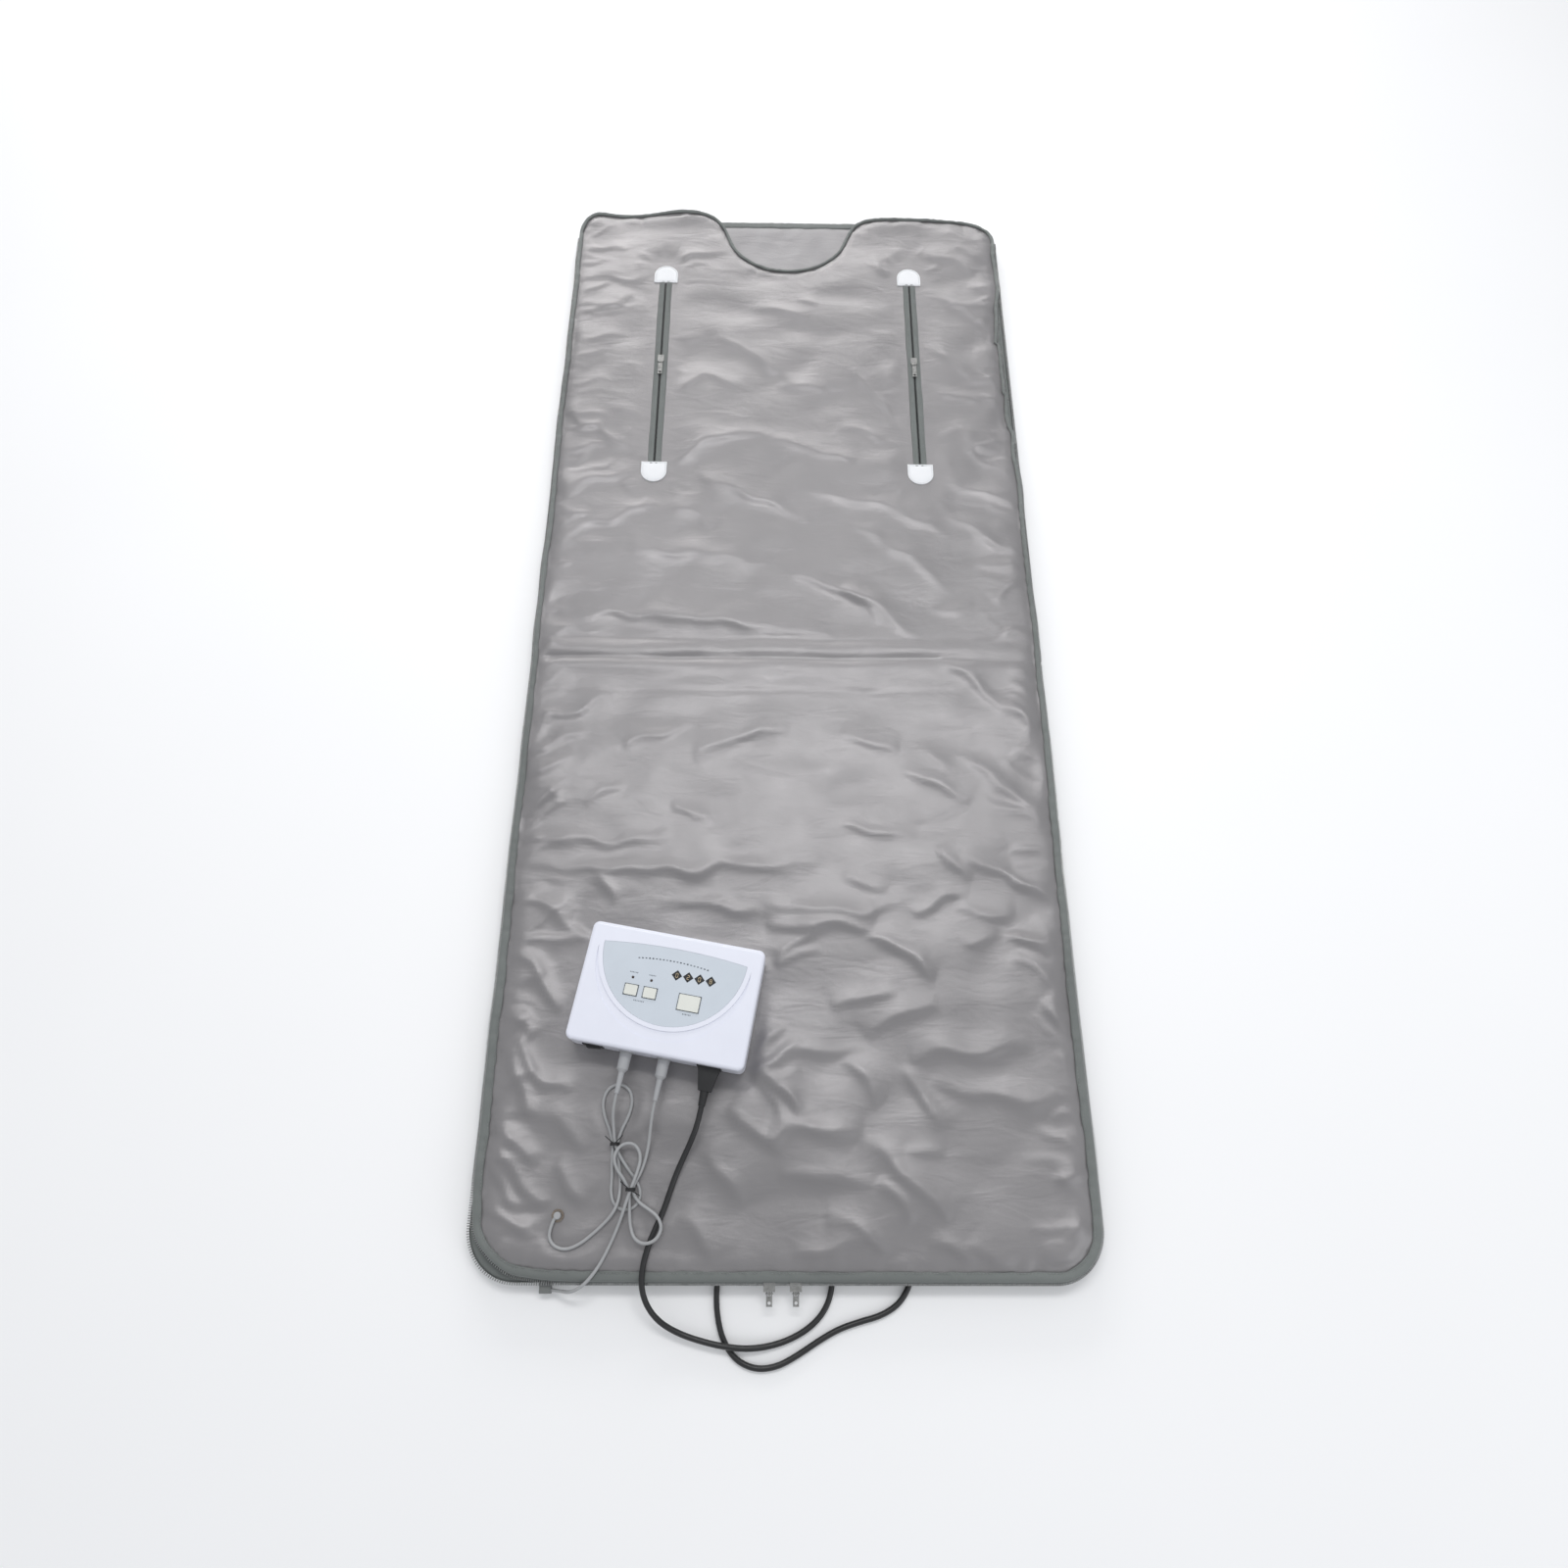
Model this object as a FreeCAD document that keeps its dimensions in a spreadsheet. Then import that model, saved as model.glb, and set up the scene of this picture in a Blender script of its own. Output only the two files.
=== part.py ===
import FreeCAD, Part
import math
import os

# Infrared sauna blanket: a padded base mat and a padded cover of the same outline, zipped together
# round both sides and the foot, with a push-button controller lying on the cover, two heater leads
# and a mains cord.
# Frame: X to the right, Y towards the head end, Z up. The origin is the centre of the underside.
# All sizes are millimetres.

doc = FreeCAD.newDocument("sauna_blanket")
sheet = doc.addObject("Spreadsheet::Sheet", "dims")

# ---------------------------------------------------------------- driving dimensions
DIMS = {
    # plan of the blanket
    "blanket_width": 780.0,
    "blanket_length": 1800.0,
    "corner_foot": 65.0,
    "corner_head": 55.0,
    "zip_reach": 5.0,
    "binding_width": 14.0,
    # heights of the layers, from the floor up
    "shell_top": 9.5,
    "insulation_top": 12.0,
    "base_heater_top": 13.0,
    "base_top": 18.0,
    "cover_bottom": 18.6,
    "cover_liner_top": 20.6,
    "cover_heater_top": 21.6,
    "cover_pad_top": 28.4,
    "cover_top": 29.6,
    # main zip rows
    "base_zip_low": 15.4,
    "cover_zip_low": 19.2,
    "zip_row": 2.0,
    "zip_end": 840.0,
    # fold line of the cover
    "fold_at": -50.0,
    "fold_gap": 0.3,
    # neck opening
    "neck_x": 2.0,
    "neck_centre": 877.0,
    "neck_radius": 110.0,
    "neck_binding": 6.0,
    # arm openings
    "arm_x": 220.0,
    "arm_foot": 318.0,
    "arm_head": 722.0,
    "arm_slit": 12.0,
    "arm_tape": 22.0,
    "arm_gap": 1.6,
    "tape_thick": 1.2,
    "patch_width": 42.0,
    "patch_depth": 40.0,
    # eyelet of the cover and the boot in it
    "eyelet_x": -277.5,
    "eyelet_y": -822.5,
    "eyelet_floor": 24.0,
    "eyelet_hole": 5.6,
    "eyelet_flange": 7.5,
    "eyelet_barrel": 5.4,
    "eyelet_bore": 4.6,
    "eyelet_thick": 1.4,
    "boot_radius": 4.4,
    "boot_tall": 11.6,
    # parts that the sliders share
    "lug": 3.6,
    "lug_tall": 2.4,
    "lug_reach": 2.2,
    "pin_radius": 0.7,
    "pin_long": 9.0,
    "eye_radius": 1.0,
    "ear_radius": 1.9,
    "pull_width": 7.2,
    "pull_thick": 1.2,
    "pull_gap": 2.6,
    "pull_lap": 0.2,
    "pull_hole": 1.9,
    "pull_hole_in": 4.0,
    # sliders of the main zip
    "slider_wide": 14.0,
    "slider_out": 5.5,
    "slider_deep": 10.0,
    "slider_web": 4.9,
    "slider_plate": 1.5,
    "slider_low": 13.4,
    "slider_tall": 9.8,
    "wedge_wide": 10.0,
    "wedge_deep": 9.5,
    "wedge_low": 17.9,
    "wedge_thick": 0.8,
    "main_pin_z": 18.3,
    "main_pull": 14.0,
    # sliders of the arm openings
    "arm_slider_y": 541.0,
    "arm_slider_long": 14.0,
    "arm_slider_top": 11.0,
    "arm_slider_bottom": 9.0,
    "arm_neck_wide": 1.0,
    "arm_neck_long": 10.0,
    "arm_pin_up": 3.4,
    "arm_pull": 27.0,
    # controller
    "box_x": -153.0,
    "box_y": -563.0,
    "box_turn": -10.3,
    "box_width": 228.0,
    "box_depth": 153.0,
    "box_foot": 3.0,
    "box_seam": 38.0,
    "box_top": 49.0,
    "box_wall": 2.4,
    "box_corner": 9.0,
    "socket_height": 24.4,
    "face_thick": 1.0,
    # cords
    "lead_dia": 4.0,
    "cord_dia": 7.0,
    "channel_dia": 9.2,
}

for row, (alias, value) in enumerate(DIMS.items(), start=1):
    sheet.set(f"A{row}", alias)
    sheet.set(f"B{row}", str(value))
    sheet.setAlias(f"B{row}", alias)
doc.recompute()

NODES = []


def size(alias):
    """The value of a driving dimension."""
    return float(sheet.get(alias))


def bind(obj, **formulas):
    """Binds properties of an object to formulas in the sheet's aliases."""
    for prop, formula in formulas.items():
        text = str(formula)
        for alias in DIMS:
            text = text.replace(f"<{alias}>", f"dims.{alias}")
        obj.setExpression(prop.replace("__", "."), text)
    return obj


def node(obj, name):
    """Names an object as a sub-part that is written to its own file."""
    obj.Label = name
    NODES.append(obj)
    return obj


def put(obj, x="0", y="0", z="0"):
    bind(obj, Placement__Base__x=x, Placement__Base__y=y, Placement__Base__z=z)
    return obj


def box(name, x, y, z, length, width, height):
    """A box from its lowest corner and its three sizes, each a formula."""
    obj = doc.addObject("Part::Box", name)
    bind(obj, Length=length, Width=width, Height=height)
    return put(obj, x, y, z)


def cylinder(name, radius, height, x="0", y="0", z="0", axis=(0, 0, 1)):
    obj = doc.addObject("Part::Cylinder", name)
    turn = FreeCAD.Rotation(FreeCAD.Vector(0, 0, 1), FreeCAD.Vector(*axis))
    obj.Placement = FreeCAD.Placement(FreeCAD.Vector(), turn)
    bind(obj, Radius=radius, Height=height)
    return put(obj, x, y, z)


def cut(name, base, *tools):
    obj = doc.addObject("Part::Cut", name)
    obj.Base = base
    obj.Tool = tools[0] if len(tools) == 1 else fuse(name + "_tools", *tools)
    return obj


def fuse(name, *shapes):
    if len(shapes) == 1:
        return shapes[0]
    obj = doc.addObject("Part::MultiFuse", name)
    obj.Shapes = list(shapes)
    return obj


def common(name, first, second):
    obj = doc.addObject("Part::MultiCommon", name)
    obj.Shapes = [first, second]
    return obj


def fillet(name, base, pick, radius):
    """Rounds the edges of base that pick(edge) chooses, by a number or a function of the edge."""
    doc.recompute()
    chosen = []
    for number, edge in enumerate(base.Shape.Edges, start=1):
        if pick(edge):
            value = radius(edge) if callable(radius) else radius
            chosen.append((number, value, value))
    obj = doc.addObject("Part::Fillet", name)
    obj.Base = base
    obj.Edges = chosen
    return obj


def long_in_x(edge):
    start, end = edge.Vertexes[0].Point, edge.Vertexes[-1].Point
    return abs(start.x - end.x) > 10


def upright(edge):
    start, end = edge.Vertexes[0].Point, edge.Vertexes[-1].Point
    level = abs(start.z - end.z) < 1e-6
    return not level and abs(start.x - end.x) < 1e-6 and abs(start.y - end.y) < 1e-6


# ---------------------------------------------------------------- outlines of the blanket
# Cutting tools start below the blanket and pass through all of its layers.
CUT_FROM = "-50"
CUT_TALL = "200"


def blanket_slab(name, inset, low, high):
    """A plate of the blanket's outline, inset from the zip's outer edge, from low to high."""
    plate = box(
        name + "_plate",
        f"-<blanket_width> / 2 + {inset}",
        f"-<blanket_length> / 2 + {inset}",
        low,
        f"<blanket_width> - 2 * ({inset})",
        f"<blanket_length> - 2 * ({inset})",
        f"{high} - ({low})",
    )
    doc.recompute()
    gone = plate.Shape.BoundBox.YMin + size("blanket_length") / 2

    def corner(edge):
        full = size("corner_head") if edge.Vertexes[0].Point.y > 0 else size("corner_foot")
        return full - gone

    return fillet(name, plate, upright, corner)


def half_space(name, low_y, high_y):
    """A box that spans the blanket's width and height between two places along its length."""
    length = f"{high_y} - ({low_y})"
    return box(name, "-<blanket_width>", low_y, CUT_FROM, "2 * <blanket_width>", length, CUT_TALL)


EDGE = "<zip_reach>"
INNER = "<zip_reach> + <binding_width>"
HEAD_FROM = "<fold_at> + <fold_gap>"
FOOT_TO = "<fold_at> - <fold_gap>"
FAR = "<blanket_length>"
SIDES = (("left", -1), ("right", 1))


def head_half(name, slab):
    return common(name, slab, half_space(name + "_side", HEAD_FROM, FAR))


def foot_half(name, slab):
    return common(name, slab, half_space(name + "_side", f"-{FAR}", FOOT_TO))


def neck_hole(name, grow):
    """The neck opening: round at the bottom, straight-sided up to the head edge."""
    radius = f"<neck_radius> + {grow}"
    west = f"<neck_x> - ({radius})"
    bowl = cylinder(name + "_bowl", radius, CUT_TALL, "<neck_x>", "<neck_centre>", CUT_FROM)
    throat = box(name + "_throat", west, "<neck_centre>", CUT_FROM, f"2 * ({radius})", CUT_TALL, CUT_TALL)
    return fuse(name, bowl, throat)


def arm_slits(name, width):
    slits = []
    for side, sign in SIDES:
        west = f"{sign} * <arm_x> - {width} / 2"
        length = "<arm_head> - <arm_foot>"
        slits.append(box(f"{name}_{side}", west, "<arm_foot>", CUT_FROM, width, length, CUT_TALL))
    return fuse(name, *slits)


# ---------------------------------------------------------------- cords
ARC_SHARE = 0.45
VOLUME_TOLERANCE = 0.01


def tangent_path(points):
    """Straight runs joined by tangent arcs; each arc takes ARC_SHARE of the shorter of its runs."""
    points = [FreeCAD.Vector(*p) for p in points]
    edges, radii, last = [], [], points[0]
    for before, here, after in zip(points, points[1:], points[2:]):
        back, ahead = (before - here), (after - here)
        reach = ARC_SHARE * min(back.Length, ahead.Length)
        half_turn = (math.pi - back.getAngle(ahead)) / 2
        radii.append(reach / math.tan(half_turn))
        start = here + back.normalize() * reach
        end = here + ahead.normalize() * reach
        bisector = (back + ahead).normalize()
        middle = here + bisector * (radii[-1] / math.cos(half_turn) - radii[-1])
        edges.append(Part.LineSegment(last, start).toShape())
        edges.append(Part.Arc(start, middle, end).toShape())
        last = end
    edges.append(Part.LineSegment(last, points[-1]).toShape())
    return Part.Wire(edges), radii


def tube(points, diameter):
    """A round tube along a path, with its path's length and its radii."""
    path, radii = tangent_path(points)
    first = path.Edges[0]
    along = first.tangentAt(first.FirstParameter)
    ring = Part.Wire([Part.makeCircle(diameter / 2, FreeCAD.Vector(*points[0]), along)])
    solid = path.makePipeShell([ring], True, False)
    return solid, path.Length, radii


def cord(name, points, diameter):
    solid, length, radii = tube(points, diameter)
    section = math.pi * diameter**2 / 4
    ratio = solid.Volume / (section * length)
    print(f"{name}: {length:.0f} mm long, volume / (section x length) = {ratio:.4f}")
    print(f"  least radius {min(radii):.1f} mm, radii " + " ".join(f"{r:.0f}" for r in radii))
    if abs(ratio - 1) > VOLUME_TOLERANCE:
        raise ValueError(f"{name}: the tube's volume doesn't match its length")
    obj = doc.addObject("Part::Feature", name)
    obj.Shape = solid
    return node(obj, name)


# Lead 1 leaves the left socket, runs through its tie, turns in a loop below it and one above it,
# and goes on to the boot in the cover's eyelet.
LEAD_1 = [
    (-212.3, -682.4, 54.0),
    (-214.4, -694.2, 54.0),
    (-216.0, -707.0, 48.6),
    (-215.0, -722.0, 41.6),
    (-213.0, -740.0, 38.0),
    (-206.5, -754.0, 37.4),
    (-196.0, -769.0, 33.6),
    (-184.0, -783.0, 31.8),
    (-177.5, -798.0, 31.9),
    (-183.0, -812.0, 31.8),
    (-197.0, -817.5, 31.9),
    (-210.0, -811.0, 31.8),
    (-215.0, -797.0, 31.9),
    (-214.5, -779.0, 31.8),
    (-216.0, -760.0, 32.4),
    (-215.3, -742.0, 34.0),
    (-220.5, -725.0, 32.4),
    (-229.0, -708.0, 31.8),
    (-232.5, -691.0, 31.9),
    (-227.5, -675.0, 31.8),
    (-213.0, -668.0, 31.9),
    (-199.0, -675.0, 31.8),
    (-194.5, -690.0, 31.9),
    (-198.0, -707.0, 31.8),
    (-206.0, -723.0, 32.4),
    (-210.7, -740.0, 34.0),
    (-208.3, -757.0, 32.1),
    (-205.2, -774.0, 31.8),
    (-203.2, -791.0, 33.2),
    (-204.2, -807.0, 36.4),
    (-211.0, -821.0, 36.2),
    (-221.5, -832.0, 33.0),
    (-234.0, -843.0, 31.8),
    (-249.0, -854.5, 31.9),
    (-266.0, -860.5, 31.8),
    (-281.5, -855.0, 31.9),
    (-287.5, -841.0, 32.6),
    (-280.6, -825.3, 33.6),
]
# Lead 2 leaves the right socket and does the same lower down, then goes over the foot edge into
# the boot of the base.
LEAD_2 = [
    (-164.1, -691.2, 54.0),
    (-166.6, -705.0, 54.0),
    (-168.5, -722.0, 48.4),
    (-170.5, -741.0, 41.0),
    (-174.0, -759.0, 37.0),
    (-180.0, -776.0, 36.4),
    (-190.0, -793.0, 36.5),
    (-180.5, -807.0, 36.7),
    (-167.0, -815.0, 38.2),
    (-155.0, -823.0, 40.0),
    (-149.5, -836.0, 40.4),
    (-156.0, -849.0, 40.6),
    (-170.0, -854.0, 40.2),
    (-183.0, -848.0, 36.8),
    (-188.5, -834.0, 35.4),
    (-190.0, -819.0, 37.0),
    (-191.2, -806.0, 36.9),
    (-192.2, -793.0, 36.5),
    (-200.0, -780.0, 38.6),
    (-209.5, -768.5, 41.0),
    (-213.0, -754.0, 42.4),
    (-203.5, -740.5, 42.3),
    (-187.0, -740.0, 41.4),
    (-178.5, -756.0, 40.8),
    (-183.5, -775.5, 40.4),
    (-190.0, -793.0, 40.5),
    (-195.0, -809.0, 40.3),
    (-200.0, -825.0, 37.0),
    (-206.0, -841.0, 33.2),
    (-213.0, -857.0, 31.8),
    (-221.0, -873.0, 31.9),
    (-231.0, -888.0, 32.0),
    (-243.0, -900.0, 31.4),
    (-256.0, -906.0, 26.0),
    (-269.5, -905.6, 15.2),
    (-282.0, -904.6, 10.6),
]
# The mains cord lies on the cover, drops over the foot edge, lies in a loop on the floor, turns
# back under the blanket, lies in a second, wider loop and goes under the blanket to its plug.
MAINS = [
    (-106.3, -697.6, 54.0),
    (-109.7, -716.3, 54.0),
    (-117.5, -737.0, 47.4),
    (-127.5, -757.0, 38.6),
    (-136.5, -777.0, 33.8),
    (-143.0, -797.0, 33.3),
    (-149.5, -817.0, 33.4),
    (-158.5, -837.0, 33.3),
    (-166.5, -857.0, 33.4),
    (-171.5, -878.0, 33.6),
    (-172.0, -901.0, 33.6),
    (-164.0, -922.0, 27.0),
    (-149.0, -939.0, 17.6),
    (-126.0, -951.0, 12.4),
    (-99.0, -959.0, 11.4),
    (-72.0, -964.5, 11.3),
    (-45.0, -967.0, 9.0),
    (-18.0, -964.5, 4.6),
    (8.0, -956.5, 3.6),
    (32.0, -943.0, 3.7),
    (49.0, -924.0, 3.6),
    (56.5, -900.0, 3.7),
    (54.5, -875.0, 3.6),
    (42.0, -854.0, 3.7),
    (21.0, -840.5, 3.6),
    (-5.0, -835.0, 3.7),
    (-31.0, -837.0, 3.6),
    (-56.0, -847.0, 3.7),
    (-74.0, -865.0, 3.6),
    (-82.5, -888.0, 3.7),
    (-84.5, -912.0, 3.6),
    (-82.0, -936.0, 3.7),
    (-75.0, -959.0, 3.6),
    (-60.0, -979.0, 3.7),
    (-36.0, -989.0, 3.6),
    (-10.0, -986.0, 3.7),
    (15.0, -973.5, 3.6),
    (38.0, -959.5, 3.7),
    (62.0, -947.0, 3.6),
    (88.0, -939.0, 3.7),
    (115.0, -932.5, 3.6),
    (138.0, -919.0, 3.7),
    (151.5, -897.0, 3.6),
    (158.5, -865.0, 3.7),
    (160.5, -825.0, 3.6),
    (159.0, -780.0, 3.7),
    (163.0, -741.0, 3.6),
    (180.0, -708.0, 3.7),
    (212.0, -690.0, 3.6),
    (246.0, -694.0, 3.7),
    (270.0, -713.0, 3.8),
    (281.0, -736.0, 5.6),
    (282.0, -757.0, 8.0),
    (282.0, -778.0, 8.0),
]
# The stretches of the mains cord that lie under the blanket, by their first and last points
UNDER_LOOP = slice(20, 32)
UNDER_END = slice(41, None)


def cord_channel(name, stretch):
    """The hollow that the cord presses into the underside of the base."""
    solid, _, _ = tube(MAINS[stretch], size("channel_dia"))
    obj = doc.addObject("Part::Feature", name)
    obj.Shape = solid
    return obj


# ---------------------------------------------------------------- base mat
# The plug's recess and the lead's boot, each as a box: its lowest corner, then its sizes
PLUG_X = 282.0
PLUG_RECESS = ("257", "-866", "-5", "50", "102", "21")
BASE_BOOT = ("-296", "-908.6", "6.4", "14", "13.6", "7.4")
BOOT_ROUND = 2.0
HEATER_STRIP = 26.0


def underside_hollows(name):
    """The cord's channels and the plug's recess, under the base."""
    return fuse(
        name,
        cord_channel(name + "_loop", UNDER_LOOP),
        cord_channel(name + "_end", UNDER_END),
        box(name + "_plug", *PLUG_RECESS),
    )


def base_shell():
    slab = blanket_slab("base_shell_slab", INNER, "0", "<shell_top>")
    return node(cut("base_shell_cut", slab, underside_hollows("shell_hollows")), "base_shell")


def base_insulation():
    slab = blanket_slab("base_insulation_slab", INNER, "<shell_top>", "<insulation_top>")
    return node(cut("base_insulation_cut", slab, underside_hollows("insulation_hollows")), "base_insulation")


def base_liner():
    slab = blanket_slab("base_liner_slab", INNER, "<base_heater_top>", "<base_top>")
    return node(cut("base_liner_cut", slab, box("liner_plug", *PLUG_RECESS)), "base_liner")


def base_binding():
    outer = blanket_slab("base_binding_outer", EDGE, "0", "<base_top>")
    inner = blanket_slab("base_binding_inner", INNER, "-1", "<base_top> + 1")
    ring = cut("base_binding_ring", outer, inner, underside_hollows("binding_hollows"))
    return node(ring, "base_binding")


def zip_ring(name, low, high_y, low_y):
    """A row of the main zip: a strip on the outer edge, between two places along the length."""
    outer = blanket_slab(name + "_outer", "0", low, f"{low} + <zip_row>")
    inner = blanket_slab(name + "_inner", EDGE, f"{low} - 1", f"{low} + <zip_row> + 1")
    ring = cut(name + "_ring", outer, inner)
    return common(name + "_part", ring, half_space(name + "_side", low_y, high_y))


def sketch_body(name, outline, low, height):
    """A body padded up from the plane at low, with an outline of lines and arcs."""
    body = doc.addObject("PartDesign::Body", name)
    sketch = body.newObject("Sketcher::SketchObject", name + "_sketch")
    plane = next(f for f in body.Origin.OriginFeatures if f.Role == "XY_Plane")
    sketch.AttachmentSupport = [(plane, "")]
    sketch.MapMode = "FlatFace"
    for edge in outline:
        sketch.addGeometry(edge, False)
    pad = body.newObject("PartDesign::Pad", name + "_pad")
    pad.Profile = sketch
    bind(pad, Length=height)
    bind(body, Placement__Base__z=low)
    return body


def polygon(points):
    corners = [FreeCAD.Vector(x, y, 0) for x, y in points]
    return [Part.LineSegment(a, b) for a, b in zip(corners, corners[1:] + corners[:1])]


def heater(name, low, high, half_width, from_y, to_y, runs):
    """A flat heating element that runs to and fro: a sheet with slots from either side in turn."""
    strip = HEATER_STRIP
    pitch = (to_y - from_y - strip) / (runs - 1)
    right, left = [(half_width, from_y)], []
    for gap in range(runs - 1):
        slot_low = from_y + gap * pitch + strip
        slot_high = from_y + (gap + 1) * pitch
        side = half_width if gap % 2 == 0 else -half_width
        end = math.copysign(strip - half_width, -side)
        notch = [(side, slot_low), (end, slot_low), (end, slot_high), (side, slot_high)]
        if side > 0:
            right += notch
        else:
            left += notch
    outline = right + [(half_width, to_y), (-half_width, to_y)] + left[::-1] + [(-half_width, from_y)]
    return node(sketch_body(name + "_body", polygon(outline), low, f"{high} - ({low})"), name)


def base_mat():
    base_shell()
    base_insulation()
    levels = ("<insulation_top>", "<base_heater_top>")
    heater("base_heater", *levels, half_width=340.0, from_y=-650.0, to_y=830.0, runs=22)
    base_liner()
    base_binding()
    node(zip_ring("base_zip", "<base_zip_low>", "<zip_end>", f"-{FAR}"), "base_zip")
    boot = box("base_boot_box", *BASE_BOOT)
    node(fillet("base_boot_round", boot, long_in_x, BOOT_ROUND), "base_lead_boot")


# ---------------------------------------------------------------- cover
EYELET = ("<eyelet_x>", "<eyelet_y>")
LAYERS = {
    "liner": ("<cover_bottom>", "<cover_liner_top>"),
    "padding": ("<cover_heater_top>", "<cover_pad_top>"),
    "outer": ("<cover_pad_top>", "<cover_top>"),
}
COVER_HEATER = ("<cover_liner_top>", "<cover_heater_top>")
BOOT_TOP_ROUND = 1.5


def cover_foot():
    for layer, (low, high) in LAYERS.items():
        whole = blanket_slab(f"cover_foot_{layer}_slab", INNER, low, high)
        slab = foot_half(f"cover_foot_{layer}_half", whole)
        if layer != "liner":
            hole = cylinder(f"cover_foot_{layer}_hole", "<eyelet_hole>", CUT_TALL, *EYELET, "<eyelet_floor>")
            slab = cut(f"cover_foot_{layer}_cut", slab, hole)
        node(slab, f"cover_foot_{layer}")
    heater("cover_foot_heater", *COVER_HEATER, half_width=335.0, from_y=-800.0, to_y=-70.0, runs=11)
    outer = blanket_slab("cover_foot_binding_outer", EDGE, "<cover_bottom>", "<cover_top>")
    inner = blanket_slab("cover_foot_binding_inner", INNER, "<cover_bottom> - 1", "<cover_top> + 1")
    ring = cut("cover_foot_binding_ring", outer, inner)
    node(foot_half("cover_foot_binding_half", ring), "cover_foot_binding")
    node(zip_ring("cover_foot_zip", "<cover_zip_low>", FOOT_TO, f"-{FAR}"), "cover_foot_zip")


def cover_head():
    for layer, (low, high) in LAYERS.items():
        whole = blanket_slab(f"cover_head_{layer}_slab", INNER, low, high)
        slab = head_half(f"cover_head_{layer}_half", whole)
        holes = (
            neck_hole(f"cover_head_{layer}_neck", "<neck_binding>"),
            arm_slits(f"cover_head_{layer}_slits", "<arm_slit>"),
        )
        node(cut(f"cover_head_{layer}_cut", slab, *holes), f"cover_head_{layer}")
    heater("cover_head_heater", *COVER_HEATER, half_width=190.0, from_y=-30.0, to_y=740.0, runs=12)
    whole = blanket_slab("cover_head_binding_whole", EDGE, "<cover_bottom>", "<cover_top>")
    middle = cut(
        "cover_head_binding_middle",
        blanket_slab("cover_head_binding_inner", INNER, "<cover_bottom> - 1", "<cover_top> + 1"),
        neck_hole("cover_head_binding_collar", "<neck_binding>"),
    )
    hem = cut("cover_head_binding_hem", whole, middle, neck_hole("cover_head_binding_neck", "0"))
    node(head_half("cover_head_binding_half", hem), "cover_head_binding")
    node(zip_ring("cover_head_zip", "<cover_zip_low>", "<zip_end>", HEAD_FROM), "cover_head_zip")


def eyelet():
    flange = cylinder("eyelet_flange", "<eyelet_flange>", "<eyelet_thick>", *EYELET, "<cover_top>")
    barrel = cylinder("eyelet_barrel", "<eyelet_barrel>", "3", *EYELET, "<cover_top> - 3")
    bore = cylinder("eyelet_bore", "<eyelet_bore>", CUT_TALL, *EYELET, "<cover_top> - 5")
    node(cut("eyelet_ring", fuse("eyelet_metal", flange, barrel), bore), "eyelet")
    boot = cylinder("cover_boot_rod", "<boot_radius>", "<boot_tall>", *EYELET, "<eyelet_floor> + 0.4")
    below_top = size("eyelet_floor") + size("boot_tall")
    at_top = lambda e: all(v.Point.z > below_top for v in e.Vertexes)
    top = fillet("cover_boot_round", boot, at_top, BOOT_TOP_ROUND)
    node(top, "cover_lead_boot")


def arm_side(name, sign):
    """One arm opening's zip tape and its two reinforcing patches."""
    centre = f"{sign} * <arm_x>"
    whole = box(
        f"arm_tape_{name}",
        f"{centre} - <arm_tape> / 2",
        "<arm_foot>",
        "<cover_top>",
        "<arm_tape>",
        "<arm_head> - <arm_foot>",
        "<tape_thick>",
    )
    gap = box(
        f"arm_gap_{name}",
        f"{centre} - <arm_gap> / 2",
        "<arm_foot> + 3",
        "<cover_top> - 1",
        "<arm_gap>",
        "<arm_head> - <arm_foot> - 6",
        "<tape_thick> + 2",
    )
    node(cut(f"arm_zip_{name}_cut", whole, gap), f"arm_zip_{name}")
    for end, edge, way in (("foot", "<arm_foot>", -1), ("head", "<arm_head>", 1)):
        half = size("patch_width") / 2
        flat = size("patch_depth") - half
        corners = [(-half, way * flat), (-half, 0.0), (half, 0.0), (half, way * flat)]
        points = [FreeCAD.Vector(x, y, 0) for x, y in corners]
        outline = [Part.LineSegment(a, b) for a, b in zip(points, points[1:])]
        outline.append(Part.Arc(points[3], FreeCAD.Vector(0, way * size("patch_depth"), 0), points[0]))
        patch = sketch_body(f"arm_patch_{name}_{end}_body", outline, "<cover_top>", "<tape_thick>")
        node(put(patch, centre, edge, "<cover_top>"), f"arm_patch_{name}_{end}")


# ---------------------------------------------------------------- zip sliders and pulls
CROSSWISE = (1, 0, 0)


def lug_and_pin(name, x, pin_y, pin_z):
    """The slider's lug, which reaches back to the slider, and its crosswise pin."""
    lug = box(
        name + "_lug",
        f"{x} - <lug> / 2",
        f"{pin_y} - <lug> / 2",
        f"{pin_z} - <lug_tall> / 2",
        "<lug>",
        "<lug> / 2 + <lug_reach>",
        "<lug_tall>",
    )
    start = (f"{x} - <pin_long> / 2", pin_y, pin_z)
    pin = cylinder(name + "_pin", "<pin_radius>", "<pin_long>", *start, CROSSWISE)
    return [lug, pin]


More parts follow.
